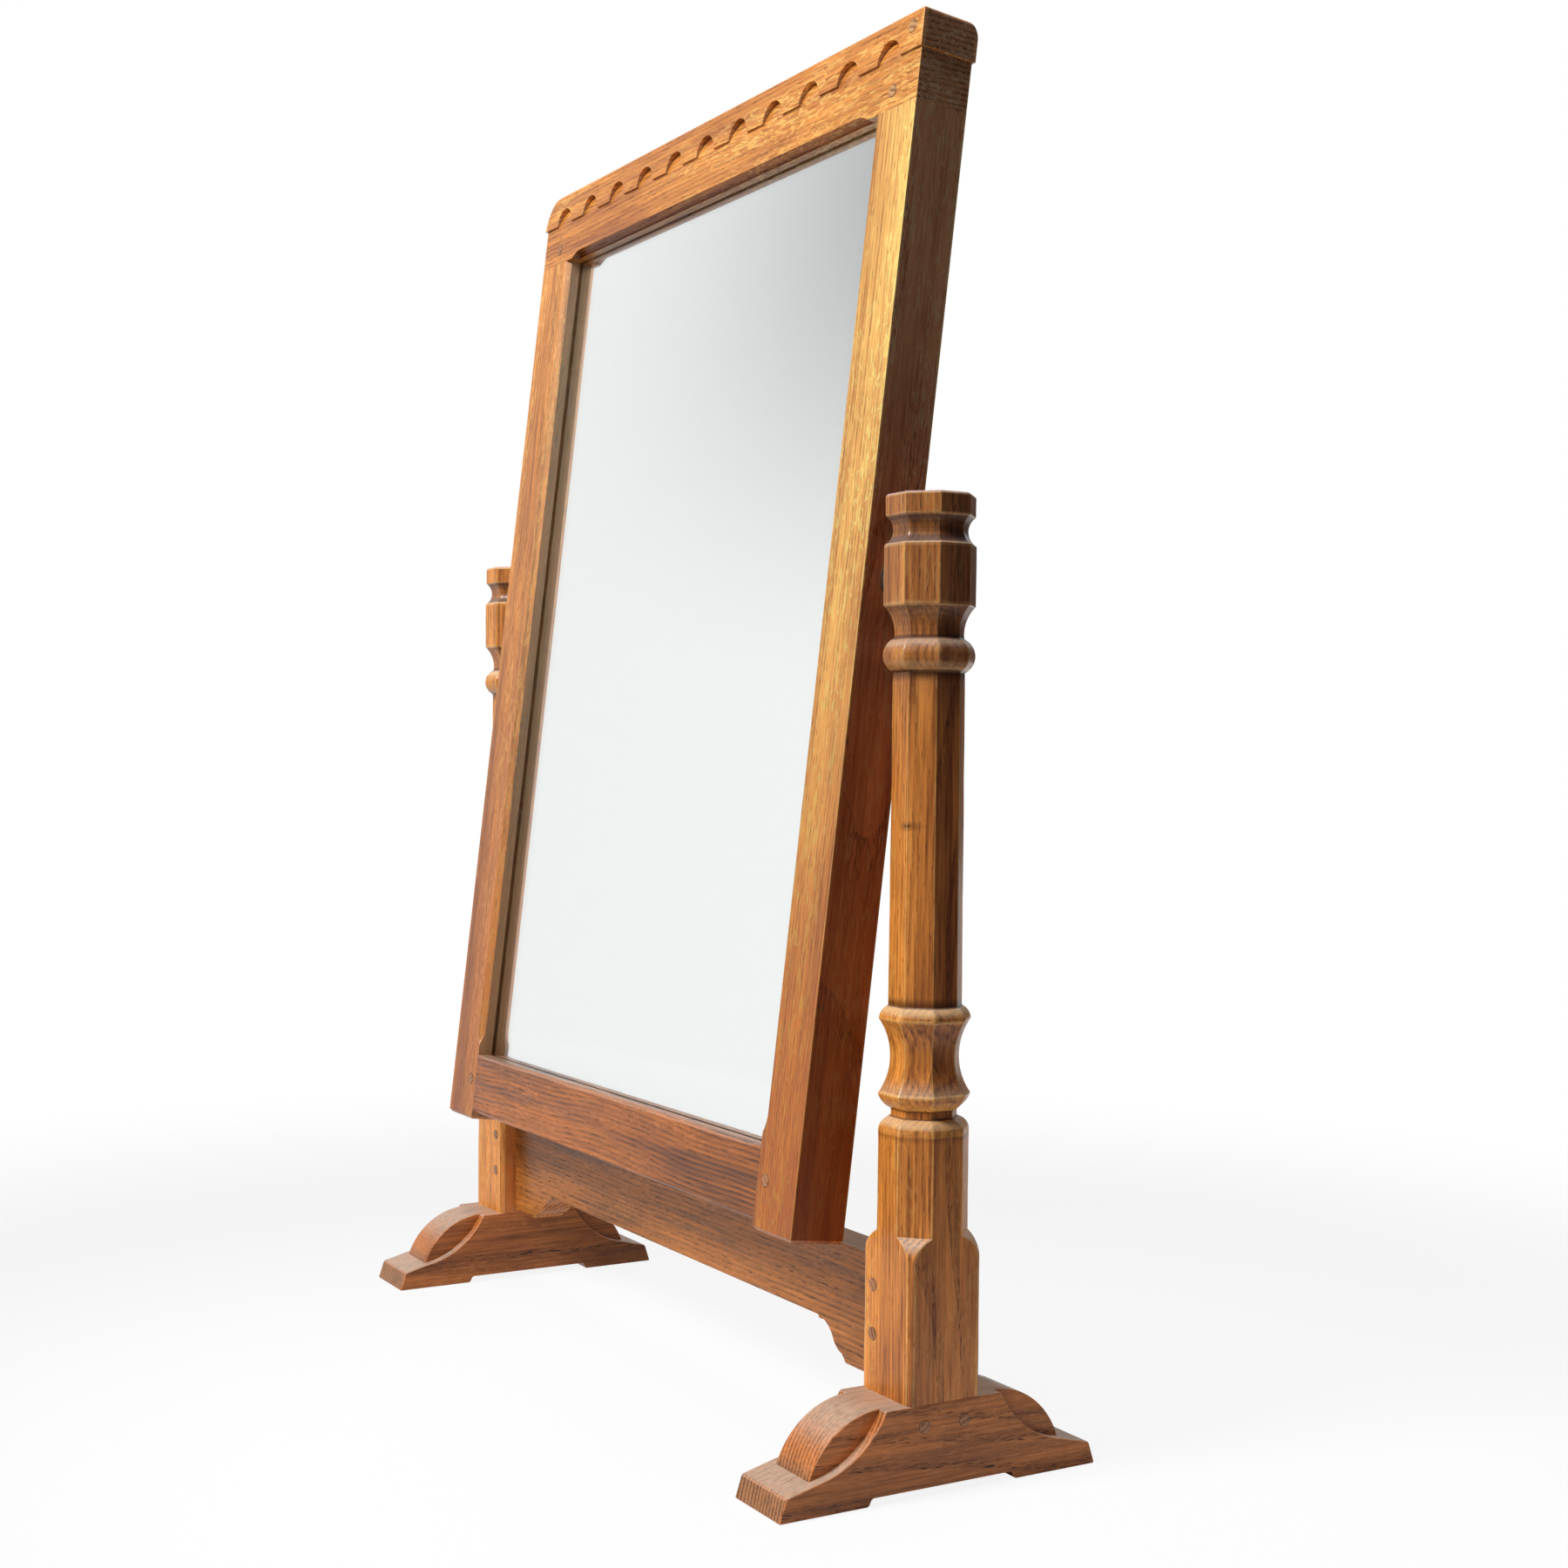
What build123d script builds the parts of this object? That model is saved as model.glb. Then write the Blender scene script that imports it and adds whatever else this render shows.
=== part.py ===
from build123d import *
import os
from math import sqrt

# Swing mirror on a stand: octagonal posts on sledge feet, a bracketed stretcher, and a framed mirror
# that turns on two pivots between the posts. X is across, the front is -Y, Z is up, and the origin is
# on the floor under the middle of the stand.

# Stand, overall
post_spacing = 585.0        # between the posts' axes
post_size = 50.0            # square base block, also the octagon across its flats
rest_tilt = 6.7             # degrees that the mirror's top leans back at rest

# Feet
foot_flat = 80.0            # length of the flat top under the post
foot_width = 50.0
foot_height = 53.0
cheek_run = 46.0            # length of each sunk cheek
cheek_hollow = 7.0          # sagitta of the cheek's hollow curve
toe_run = 24.0              # from the cheek's lower end to the end of the foot
toe_height = 13.5
toe_rise = 5.0              # how much the toe's top climbs to the cheek
toe_rake = 4.5              # how far the toe's end leans in over its height
web_width = 36.0
web_run = 47.5              # length of each scroll of the web
web_foot_height = 17.0
web_round = 9.5             # sagitta of the web's scroll curve
recess_length = 102.0       # recess under the foot's middle
recess_depth = 4.5

# Post: height of each moulding from the foot up
block_height = 79.5         # square up to where its arrises begin to run out
stop_height = 15.3          # the arrises run out over this height into the octagon
stop_round = 2.6            # sagitta of the stop's round
base_drum_height = 57.2
shoulder_height = 9.8
shoulder_round = 2.4        # sagitta of the round shoulder
neck_height = 4.5
flare_height = 8.7          # from the neck out to the vase's lower arris
vase_height = 43.5          # between the vase's arrises
vase_top_height = 7.7       # from the vase's upper arris in to the shaft
shaft_height = 191.6
ring_height = 19.6
taper_height = 18.5
drum_height = 34.5          # the drum that holds the pivot
cove_height = 16.6
cap_height = 12.4

# Post: size across the flats, and how far the curved mouldings bow
block_chamfer = 2.4         # chamfer on the square block's arrises
neck_size = 36.4
vase_size = 51.0
vase_hollow = 6.5           # sagitta of the vase's waist
bevel_round = 1.2           # sagitta of the bevels beside the vase
shaft_bottom_size = 40.6
shaft_top_size = 39.4
ring_round = 6.0            # how far the ring swells out of the shaft
taper_size = 38.4
taper_hollow = 2.2
drum_size = 50.4
cove_hollow = 4.3
cap_size = 49.4
cap_edge = 1.2              # chamfer round the top of the cap
pivot_drop = 18.0           # pivot's axis below the top of its drum

# Post tenon in the foot, and pegs
foot_tenon_width = 16.0     # across
foot_tenon_depth = 36.0     # front to back
foot_tenon_length = 38.0
peg_diameter = 8.0
peg_stand = 0.4             # how far a peg stands proud
foot_peg_spacing = 28.0
foot_peg_drop = 12.5        # below the foot's top
foot_peg_length = 38.0

# Stretcher
stretcher_thickness = 25.0
stretcher_height = 50.0
bracket_gap = 2.0           # between a bracket and the foot below it
bracket_length = 69.0       # along the stretcher, from the post
bracket_drop = 22.5         # below the stretcher's lower edge
bracket_flat = 38.0         # flat under the bracket beside the post
bracket_quirk = 1.6         # small steps where the ogee starts and ends
bracket_chamfer = 2.5       # on the front arris of each ogee
stretcher_tenon_thickness = 9.0
stretcher_tenon_height = 41.0
stretcher_tenon_length = 31.0
post_peg_inset = 11.3       # from the post's inner face
post_peg_drop = 12.2        # upper peg below the stretcher's top
post_peg_spacing = 28.8
post_peg_length = 34.0

# Mirror frame, measured in its own upright plane from the pivot's axis
side_gap = 5.0              # between a stile and its post
frame_front = 26.0          # front face ahead of the pivot's axis
frame_back = 10.0           # back face behind it
stile_width = 44.5
sight_above = 280.0         # sight opening above the pivot
sight_below = 340.3         # sight opening below the pivot
plain_height = 30.6         # top rail's plain lower part
band_height = 23.4          # top rail's proud upper band
bottom_rail_height = 44.1
stile_horn = 6.0            # how far the stiles reach below the bottom rail
stile_end_edge = 2.0        # chamfer round a stile's lower end
band_proud = 1.5
band_back_round = 10.0
band_front_round = 2.0
band_left_round = 26.0      # the worn, rounded top left corner
band_right_round = 3.0
arch_count = 11
arch_pitch = 45.8
arch_radius = 12.0
arch_slope = 12.0           # degrees that an arch's floor slopes in
inner_chamfer = 4.0         # stopped chamfer round the sight opening
chamfer_stop = 13.0
rail_chamfer_inset = 8.0    # from the stile to the start of a rail's chamfer
outer_chamfer = 1.2         # light chamfer on the frame's outer arrises

# Frame joints
frame_tenon_thickness = 12.0
frame_tenon_front = 12.0    # behind the frame's front face
stile_tenon_width = 27.0
stile_tenon_height = 38.0
rail_tenon_height = 27.0
rail_tenon_length = 32.0
frame_peg_length = 28.0
stile_peg_inset = 17.3      # stile's inner edge to the top joint's peg
stile_peg_rise = 11.0       # above the joint
rail_peg_inset = 9.0        # stile's inner edge to the bottom joint's peg
rail_peg_drop = 19.7        # below the bottom rail's top
corner_peg_inset = 10.0     # from the frame's side
corner_peg_drop = 9.5       # from the frame's top

# Glass, its rebate and the backboard
glass_setback = 11.0        # front face of the frame to the glass
rebate_width = 8.0
glass_thickness = 4.0
silver_thickness = 0.2
glass_clearance = 1.0
fillet_height = 10.0
fillet_bevel = 3.0
board_rebate_width = 8.0    # beyond the glass rebate
board_rebate_depth = 8.0
board_thickness = 7.0
board_clearance = 0.4
board_bevel = 3.0
board_screws_side = 4
board_screws_end = 3
board_screw_length = 15.0

# Pivot hardware
stud_diameter = 8.0
stud_shank_length = 24.0    # in the stile
stud_journal_length = 14.0  # in the socket
socket_diameter = 13.0
socket_length = 19.0
flange_diameter = 29.0
flange_thickness = 1.5
running_gap = 0.3           # stud flange to friction washer
washer_bore_clearance = 0.3
flange_screw_circle = 21.0
flange_screw_count = 3
flange_screw_length = 13.0

# Screws
screw_diameter = 3.0
screw_head = 5.4
screw_head_height = 1.3
screw_slot = 0.7
screw_slot_depth = 0.6

# Fits
wood_fit = 0.05             # each side, tenons and pegs
metal_fit = 0.05            # each side, metal in wood
journal_fit = 0.05          # radial, stud in socket
tenon_end_clearance = 0.5

# Worked out from the sizes above
stop_start = foot_height + block_height
stop_end = stop_start + stop_height
shoulder_bottom = stop_end + base_drum_height
neck_bottom = shoulder_bottom + shoulder_height
neck_top = neck_bottom + neck_height
vase_lower = neck_top + flare_height
vase_upper = vase_lower + vase_height
shaft_bottom = vase_upper + vase_top_height
ring_bottom = shaft_bottom + shaft_height
ring_top = ring_bottom + ring_height
drum_bottom = ring_top + taper_height
drum_top = drum_bottom + drum_height
cap_bottom = drum_top + cove_height
cap_top = cap_bottom + cap_height
pivot_height = drum_top - pivot_drop
half_spacing = post_spacing / 2
post_inner = half_spacing - post_size / 2
pivot_face = half_spacing - drum_size / 2
frame_half = pivot_face - side_gap
sight_half = frame_half - stile_width
glass_front = frame_front - glass_setback
stretcher_bottom = foot_height + bracket_gap + bracket_drop
stretcher_top = stretcher_bottom + stretcher_height
post_peg_upper = stretcher_top - post_peg_drop
post_peg_lower = post_peg_upper - post_peg_spacing
band_bottom = sight_above + plain_height
frame_top = band_bottom + band_height
bottom_rail_bottom = sight_below + bottom_rail_height
stile_bottom = bottom_rail_bottom + stile_horn
washer_thickness = side_gap - 2 * flange_thickness - running_gap
glass_rebate_half = sight_half + rebate_width
board_rebate_half = glass_rebate_half + board_rebate_width
far = 1000.0


# Shared shapes

def box_between(low, high):
    size = [b - a for a, b in zip(low, high)]
    centre = [(a + b) / 2 for a, b in zip(low, high)]
    return Pos(*centre) * Box(*size)


def bowed(start, end, sagitta):
    """Line from start to end in the XZ plane, bowed to its right by the sagitta."""
    if sagitta == 0:
        return Line((start[0], 0, start[1]), (end[0], 0, end[1]))
    run = (end[0] - start[0], end[1] - start[1])
    length = sqrt(run[0] ** 2 + run[1] ** 2)
    middle = ((start[0] + end[0]) / 2 + sagitta * run[1] / length,
              (start[1] + end[1]) / 2 - sagitta * run[0] / length)
    return ThreePointArc((start[0], 0, start[1]), (middle[0], 0, middle[1]), (end[0], 0, end[1]))


def outline(steps):
    """Face in the XZ plane. Each step is a point and the sagitta of the side that leaves it."""
    edges = []
    for (point, sagitta), (following, _) in zip(steps, steps[1:] + steps[:1]):
        edges.append(bowed(point, following, sagitta))
    return make_face(Curve() + edges)


def both_sides(half_steps):
    """Closed outline from its right half, listed from the bottom up."""
    left = []
    for index in range(len(half_steps) - 1, -1, -1):
        (x, z), _ = half_steps[index]
        sagitta = half_steps[index - 1][1] if index > 0 else 0
        left.append(((-x, z), sagitta))
    return half_steps[:-1] + [(half_steps[-1][0], 0)] + left


def prism(steps, depth):
    """Outline in the XZ plane carried along Y, centred on it."""
    return extrude(outline(steps), amount=depth / 2, dir=(0, 1, 0), both=True)


def peg(diameter, length):
    """Peg along Z, with its head at the origin and its body below."""
    return Pos(0, 0, -length / 2) * Cylinder(diameter / 2, length)


def screw(length, clearance=0.0, slotted=True):
    """Countersunk screw along Z, with the top of its head at the origin."""
    head = screw_head / 2 + clearance
    shank = screw_diameter / 2 + clearance
    profile = [((0, -length), 0), ((shank, -length), 0), ((shank, -screw_head_height), 0), ((head, 0), 0),
               ((0, 0), 0)]
    body = revolve(outline(profile), Axis.Z)
    if slotted:
        body -= Box(2 * screw_head, screw_slot, 2 * screw_slot_depth)
    return body


def stopped_chamfer(length, leg, stops):
    """Cutter for a chamfer along an arris on X, with the wood below it along -Z.

    An end with a stop runs out in a hollow curve, and an end without one runs on past the arris.
    """
    depth = leg / sqrt(2)
    start, finish = -length / 2, length / 2
    steps = []
    if stops[0]:
        steps += [((start, 0), depth / 4), ((start + chamfer_stop, -depth), 0)]
    else:
        steps += [((start - leg, -depth), 0)]
    if stops[1]:
        steps += [((finish - chamfer_stop, -depth), depth / 4), ((finish, 0), 0), ((finish, leg), 0)]
    else:
        steps += [((finish + leg, -depth), 0), ((finish + leg, leg), 0)]
    steps += [((start if stops[0] else start - leg, leg), 0)]
    return prism(steps, 4 * leg)


def flank(shape):
    """The same piece for the left side."""
    return mirror(shape, about=Plane.YZ)


# Stand

def make_foot():
    cheek_end = foot_flat / 2 + cheek_run
    web_end = foot_flat / 2 + web_run
    cheek = both_sides([
        ((cheek_end + toe_run, 0), 0),
        ((cheek_end + toe_run - toe_rake, toe_height), 0),
        ((cheek_end, toe_height + toe_rise), -cheek_hollow),
        ((foot_flat / 2, foot_height), 0),
    ])
    web = both_sides([
        ((web_end, recess_depth), 0),
        ((web_end, web_foot_height), web_round),
        ((foot_flat / 2, foot_height), 0),
    ])
    side = prism(cheek, foot_width) + prism(web, web_width)
    recess = both_sides([
        ((recess_length / 2, 0), 0),
        ((recess_length / 2 - recess_depth / 2, recess_depth), 0),
    ])
    foot = side - prism(recess, 2 * foot_width)
    foot = foot.rotate(Axis.Z, 90)
    mortise_top = foot_height
    mortise_bottom = foot_height - foot_tenon_length - tenon_end_clearance
    foot -= box_between((-foot_tenon_width / 2 - wood_fit, -foot_tenon_depth / 2 - wood_fit, mortise_bottom),
                        (foot_tenon_width / 2 + wood_fit, foot_tenon_depth / 2 + wood_fit, mortise_top))
    foot = Pos(half_spacing, 0, 0) * foot
    for place in foot_peg_places():
        foot -= place * peg(peg_diameter + 2 * wood_fit, foot_peg_length + tenon_end_clearance)
    return foot


def foot_peg_places():
    outer = half_spacing + foot_width / 2
    height = foot_height - foot_peg_drop
    return [Location((outer, side * foot_peg_spacing / 2, height), (0, 90, 0)) for side in (-1, 1)]


def make_foot_pegs():
    head = Pos(0, 0, peg_stand)
    return Compound([place * head * peg(peg_diameter, foot_peg_length + peg_stand)
                     for place in foot_peg_places()])


def stem_steps():
    """Half outline of the post from its foot to its cap, flat face to flat face."""
    block = post_size / 2
    return [
        ((block, foot_height), 0),
        ((block, shoulder_bottom), shoulder_round),
        ((neck_size / 2, neck_bottom), 0),
        ((neck_size / 2, neck_top), bevel_round),
        ((vase_size / 2, vase_lower), -vase_hollow),
        ((vase_size / 2, vase_upper), bevel_round),
        ((shaft_bottom_size / 2, shaft_bottom), 0),
        ((shaft_top_size / 2, ring_bottom), ring_round),
        ((taper_size / 2, ring_top), -taper_hollow),
        ((drum_size / 2, drum_bottom), 0),
        ((drum_size / 2, drum_top), -cove_hollow),
        ((cap_size / 2, cap_bottom), 0),
        ((cap_size / 2, cap_top - cap_edge), 0),
        ((cap_size / 2 - cap_edge, cap_top), 0),
    ]


def diagonal_steps():
    """The same half outline for the diagonal faces, which are cut back from the square block by a stop."""
    corner = post_size / sqrt(2) - block_chamfer / sqrt(2)
    stem = stem_steps()
    return [
        ((corner, foot_height), 0),
        ((corner, stop_start), stop_round),
        ((post_size / 2, stop_end), 0),
    ] + stem[1:]


def make_post():
    straight = prism(both_sides(stem_steps()), 2 * post_size)
    diagonal = prism(both_sides(diagonal_steps()), 2 * post_size)
    post = straight & straight.rotate(Axis.Z, 90)
    post = post & diagonal.rotate(Axis.Z, 45)
    post = post & diagonal.rotate(Axis.Z, 135)
    post += box_between((-foot_tenon_width / 2, -foot_tenon_depth / 2, foot_height - foot_tenon_length),
                        (foot_tenon_width / 2, foot_tenon_depth / 2, foot_height))
    post = Pos(half_spacing, 0, 0) * post
    post -= stretcher_tenon(wood_fit, tenon_end_clearance)
    for place in foot_peg_places():
        post -= place * peg(peg_diameter + 2 * wood_fit, foot_peg_length + tenon_end_clearance)
    for place in post_peg_places():
        post -= place * peg(peg_diameter + 2 * wood_fit, post_peg_length + tenon_end_clearance)
    post -= socket_place() * socket_body(metal_fit, 0)
    for place in flange_screw_places():
        post -= socket_place() * place * screw(flange_screw_length + tenon_end_clearance, metal_fit, False)
    return post


def post_peg_places():
    x = post_inner + post_peg_inset
    return [Location((x, -post_size / 2, z), (90, 0, 0)) for z in (post_peg_lower, post_peg_upper)]


def make_post_pegs():
    head = Pos(0, 0, peg_stand)
    return Compound([place * head * peg(peg_diameter, post_peg_length + peg_stand)
                     for place in post_peg_places()])


def stretcher_tenon(clearance, end_clearance):
    middle = stretcher_top - stretcher_height / 2
    half_height = stretcher_tenon_height / 2 + clearance
    half_thickness = stretcher_tenon_thickness / 2 + clearance
    return box_between((post_inner, -half_thickness, middle - half_height),
                       (post_inner + stretcher_tenon_length + end_clearance, half_thickness,
                        middle + half_height))


def make_stretcher():
    start = post_inner - bracket_length
    flat = post_inner - bracket_flat
    ogee_top = stretcher_bottom - bracket_quirk
    ogee_bottom = stretcher_bottom - bracket_drop + 2 * bracket_quirk
    ogee_middle = ((start + flat) / 2, (ogee_top + ogee_bottom) / 2)
    sag = (flat - start) / 14
    steps = [
        ((post_inner, stretcher_top), 0),
        ((-post_inner, stretcher_top), 0),
        ((-post_inner, stretcher_bottom - bracket_drop), 0),
        ((-flat, stretcher_bottom - bracket_drop), 0),
        ((-flat + bracket_quirk, ogee_bottom), sag),
        ((-ogee_middle[0], ogee_middle[1]), -sag),
        ((-start, ogee_top), 0),
        ((-start, stretcher_bottom), 0),
        ((start, stretcher_bottom), 0),
        ((start, ogee_top), -sag),
        (ogee_middle, sag),
        ((flat - bracket_quirk, ogee_bottom), 0),
        ((flat, stretcher_bottom - bracket_drop), 0),
        ((post_inner, stretcher_bottom - bracket_drop), 0),
    ]
    board = prism(steps, stretcher_thickness)
    arris = [edge for edge in board.faces().sort_by(Axis.Y)[0].edges()
             if start < abs(edge.center().X) < flat - bracket_quirk
             and ogee_bottom < edge.center().Z < ogee_top]
    board = chamfer(arris, bracket_chamfer)
    tenon = stretcher_tenon(0, 0)
    board += tenon + flank(tenon)
    for place in post_peg_places():
        hole = place * peg(peg_diameter + 2 * wood_fit, post_peg_length + tenon_end_clearance)
        board -= hole
        board -= flank(hole)
    return board


# Pivot hardware, modelled along +Z from the stile's face towards the post

def flange_screw_places():
    turn = 360 / flange_screw_count
    return [Rot(0, 0, 90 + index * turn) * Pos(flange_screw_circle / 2, 0, 0)
            for index in range(flange_screw_count)]


def stud_place():
    return Location((frame_half, 0, 0), (0, 90, 0))


def socket_place():
    """On the inner face of the post's upper drum, with +Z pointing at the stile."""
    return Location((pivot_face, 0, pivot_height), (0, -90, 0))


def socket_body(clearance, flange):
    """Socket's barrel below the post's face, and its flange above it."""
    body = Pos(0, 0, -(socket_length + clearance) / 2) * Cylinder(socket_diameter / 2 + clearance,
                                                                  socket_length + clearance)
    if flange:
        body += Pos(0, 0, flange / 2) * Cylinder(flange_diameter / 2, flange)
    return body


def make_socket():
    body = socket_body(0, flange_thickness)
    depth = flange_thickness + stud_journal_length + tenon_end_clearance
    bore = Cylinder(stud_diameter / 2 + journal_fit, depth)
    body -= Pos(0, 0, flange_thickness - depth / 2) * bore
    for place in flange_screw_places():
        body -= Pos(0, 0, flange_thickness) * place * screw(flange_screw_length, metal_fit, False)
    return socket_place() * body


def make_socket_screws():
    lift = Pos(0, 0, flange_thickness)
    return Compound([socket_place() * lift * place * screw(flange_screw_length)
                     for place in flange_screw_places()])


def make_washer():
    ring = Cylinder(flange_diameter / 2 - running_gap, washer_thickness)
    ring -= Cylinder(stud_diameter / 2 + washer_bore_clearance, 2 * washer_thickness)
    return socket_place() * Pos(0, 0, flange_thickness + washer_thickness / 2) * ring


def make_stud():
    body = Pos(0, 0, flange_thickness / 2) * Cylinder(flange_diameter / 2, flange_thickness)
    body += Pos(0, 0, -stud_shank_length / 2) * Cylinder(stud_diameter / 2, stud_shank_length)
    reach = side_gap + stud_journal_length
    body += Pos(0, 0, reach / 2) * Cylinder(stud_diameter / 2, reach)
    for place in flange_screw_places():
        body -= Pos(0, 0, flange_thickness) * place * screw(flange_screw_length, metal_fit, False)
    return stud_place() * body


def make_stud_screws():
    lift = Pos(0, 0, flange_thickness)
    return Compound([stud_place() * lift * place * screw(flange_screw_length)
                     for place in flange_screw_places()])


def stud_holes():
    holes = Pos(0, 0, -stud_shank_length / 2) * Cylinder(stud_diameter / 2 + metal_fit,
                                                         stud_shank_length + 2 * tenon_end_clearance)
    for place in flange_screw_places():
        holes += Pos(0, 0, flange_thickness) * place * screw(flange_screw_length + tenon_end_clearance,
                                                             metal_fit, False)
    return stud_place() * holes


# Mirror, upright with the pivot's axis at the origin

def rebates():
    """Both rebates at the back of the frame, as one cutter."""
    low = sight_below + rebate_width
    high = sight_above + rebate_width
    glass = box_between((-glass_rebate_half, -glass_front, -low), (glass_rebate_half, far, high))
    step = frame_back - board_rebate_depth
    board = box_between((-board_rebate_half, step, -low - board_rebate_width),
                        (board_rebate_half, far, high + board_rebate_width))
    return glass + board


def stile_tenon(clearance, end_clearance):
    centre = frame_half - (stile_width - rebate_width) / 2
    half = stile_tenon_width / 2 + clearance
    front = frame_tenon_front - frame_front
    return box_between((centre - half, front - clearance, sight_above),
                       (centre + half, front + frame_tenon_thickness + clearance,
                        sight_above + stile_tenon_height + end_clearance))


def rail_tenon(clearance, end_clearance):
    front = frame_tenon_front - frame_front
    low = -bottom_rail_bottom + (bottom_rail_bottom - sight_below - rebate_width) / 2
    half = rail_tenon_height / 2 + clearance
    return box_between((sight_half, front - clearance, low - half),
                       (sight_half + rail_tenon_length + end_clearance,
                        front + frame_tenon_thickness + clearance, low + half))


def front_place(x, z, proud=0.0):
    """On the frame's front face, with +Z pointing forwards."""
    return Location((x, -frame_front - proud, z), (90, 0, 0))


def top_peg_place():
    return front_place(sight_half + stile_peg_inset, sight_above + stile_peg_rise)


def bottom_peg_place():
    return front_place(sight_half + rail_peg_inset, -sight_below - rail_peg_drop)


def corner_peg_place():
    return front_place(frame_half - corner_peg_inset, frame_top - corner_peg_drop, band_proud)


def frame_peg():
    return Pos(0, 0, peg_stand) * peg(peg_diameter, frame_peg_length + peg_stand)


def frame_peg_hole():
    return peg(peg_diameter + 2 * wood_fit, frame_peg_length + tenon_end_clearance)


def make_stile():
    stile = box_between((sight_half, -frame_front, -stile_bottom), (frame_half, frame_back, sight_above))
    end = [edge for edge in stile.edges() if abs(edge.center().Z + stile_bottom) < 0.01]
    stile = chamfer(end, stile_end_edge)
    stile += stile_tenon(0, 0)
    stile -= rebates()
    stile -= rail_tenon(wood_fit, tenon_end_clearance)
    chamfer_low = -sight_below + rail_chamfer_inset
    length = sight_above - chamfer_low
    cutter = stopped_chamfer(length, inner_chamfer, (True, False)).rotate(Axis.Y, -90)
    cutter = cutter.rotate(Axis.Z, 45)
    stile -= Pos(sight_half, -frame_front, chamfer_low + length / 2) * cutter
    stile -= bottom_peg_place() * frame_peg_hole()
    stile -= top_peg_place() * frame_peg_hole()
    stile -= stud_holes()
    return stile


def make_top_rail():
    rail = box_between((-frame_half, -frame_front, sight_above), (frame_half, frame_back, frame_top))
    band_half = frame_half + band_proud
    front = box_between((-band_half, -far, band_bottom), (band_half, far, frame_top))
    front -= corner_cutter(-band_half, band_left_round)
    front -= corner_cutter(band_half, band_right_round)
    section = box_between((-far, -frame_front - band_proud, band_bottom),
                          (far, frame_back + band_proud, frame_top))
    top_front = section.edges().filter_by(Axis.X).group_by(Axis.Z)[-1].sort_by(Axis.Y)[0]
    section = fillet(top_front, band_front_round)
    top_back = section.edges().filter_by(Axis.X).group_by(Axis.Z)[-1].sort_by(Axis.Y)[-1]
    section = fillet(top_back, band_back_round)
    lower = box_between((-frame_half, -frame_front, sight_above), (frame_half, frame_back, band_bottom))
    rail = lower + (front & section)
    rail -= rebates()
    tenon = stile_tenon(wood_fit, tenon_end_clearance)
    rail -= tenon
    rail -= flank(tenon)
    for index in range(arch_count):
        offset = (index - (arch_count - 1) / 2) * arch_pitch
        rail -= Pos(offset, 0, 0) * arch_cutter()
    length = 2 * (sight_half - rail_chamfer_inset)
    cutter = stopped_chamfer(length, inner_chamfer, (True, True)).rotate(Axis.X, -135)
    rail -= Pos(0, -frame_front, sight_above) * cutter
    hole = top_peg_place() * frame_peg_hole()
    rail -= hole
    rail -= flank(hole)
    rail -= corner_peg_place() * frame_peg_hole()
    return rail


def corner_cutter(x, radius):
    """Rounds one top corner of the band in elevation."""
    inward = 1 if x < 0 else -1
    square = box_between((min(x, x + inward * radius), -far, frame_top - radius),
                         (max(x, x + inward * radius), far, frame_top))
    return square - Pos(x + inward * radius, 0, frame_top - radius) * Cylinder(radius, 3 * far).rotate(Axis.X, 90)


def arch_cutter():
    """Half-round scoop on the band's lower edge, whose floor slopes in from the rail's face."""
    scoop = Cylinder(arch_radius, far).rotate(Axis.X, 90)
    scoop &= box_between((-far, -far, 0), (far, far, far))
    floor = box_between((-far, -far, -far), (far, 0, far)).rotate(Axis.X, -arch_slope)
    return Pos(0, -frame_front, band_bottom) * (scoop & floor)


def make_bottom_rail():
    rail = box_between((-sight_half, -frame_front, -bottom_rail_bottom),
                       (sight_half, frame_back, -sight_below))
    low_front = rail.edges().filter_by(Axis.X).group_by(Axis.Z)[0].sort_by(Axis.Y)[0]
    rail = chamfer(low_front, outer_chamfer)
    rail -= rebates()
    tenon = rail_tenon(0, 0)
    rail += tenon
    rail += flank(tenon)
    length = 2 * (sight_half - rail_chamfer_inset / 2)
    cutter = stopped_chamfer(length, inner_chamfer / 2, (True, True)).rotate(Axis.X, 45)
    rail -= Pos(0, -frame_front, -sight_below) * cutter
    hole = bottom_peg_place() * frame_peg_hole()
    rail -= hole
    rail -= flank(hole)
    return rail


def plate(front, back):
    """Sheet in the glass rebate, between two depths behind the pivot's axis."""
    half = glass_rebate_half - glass_clearance
    low = -sight_below - rebate_width + glass_clearance
    high = sight_above + rebate_width - glass_clearance
    return box_between((-half, front, low), (half, back, high))


def make_glass():
    return plate(-glass_front, -glass_front + glass_thickness)


def make_silver():
    back = -glass_front + glass_thickness
    return plate(back, back + silver_thickness)


def fillet_strip(length):
    """Strip along X against a rebate's wall, with the glass in front and the wall above."""
    front = -glass_front + glass_thickness + silver_thickness
    steps = [((front, 0), 0), ((front + fillet_height, 0), 0),
             ((front + fillet_height, -rebate_width + fillet_bevel), 0),
             ((front + fillet_height - fillet_bevel, -rebate_width), 0), ((front, -rebate_width), 0)]
    return prism(steps, length).rotate(Axis.Z, 90)


def make_top_fillet():
    top = sight_above + rebate_width
    return Pos(0, 0, top) * fillet_strip(2 * glass_rebate_half).mirror(Plane.YZ)


def make_bottom_fillet():
    bottom = -sight_below - rebate_width
    return Pos(0, 0, bottom) * fillet_strip(2 * glass_rebate_half).mirror(Plane.XY)


def make_side_fillet():
    low = -sight_below
    high = sight_above
    strip = fillet_strip(high - low).rotate(Axis.Y, 90)
    return Pos(glass_rebate_half, 0, (low + high) / 2) * strip


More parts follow.
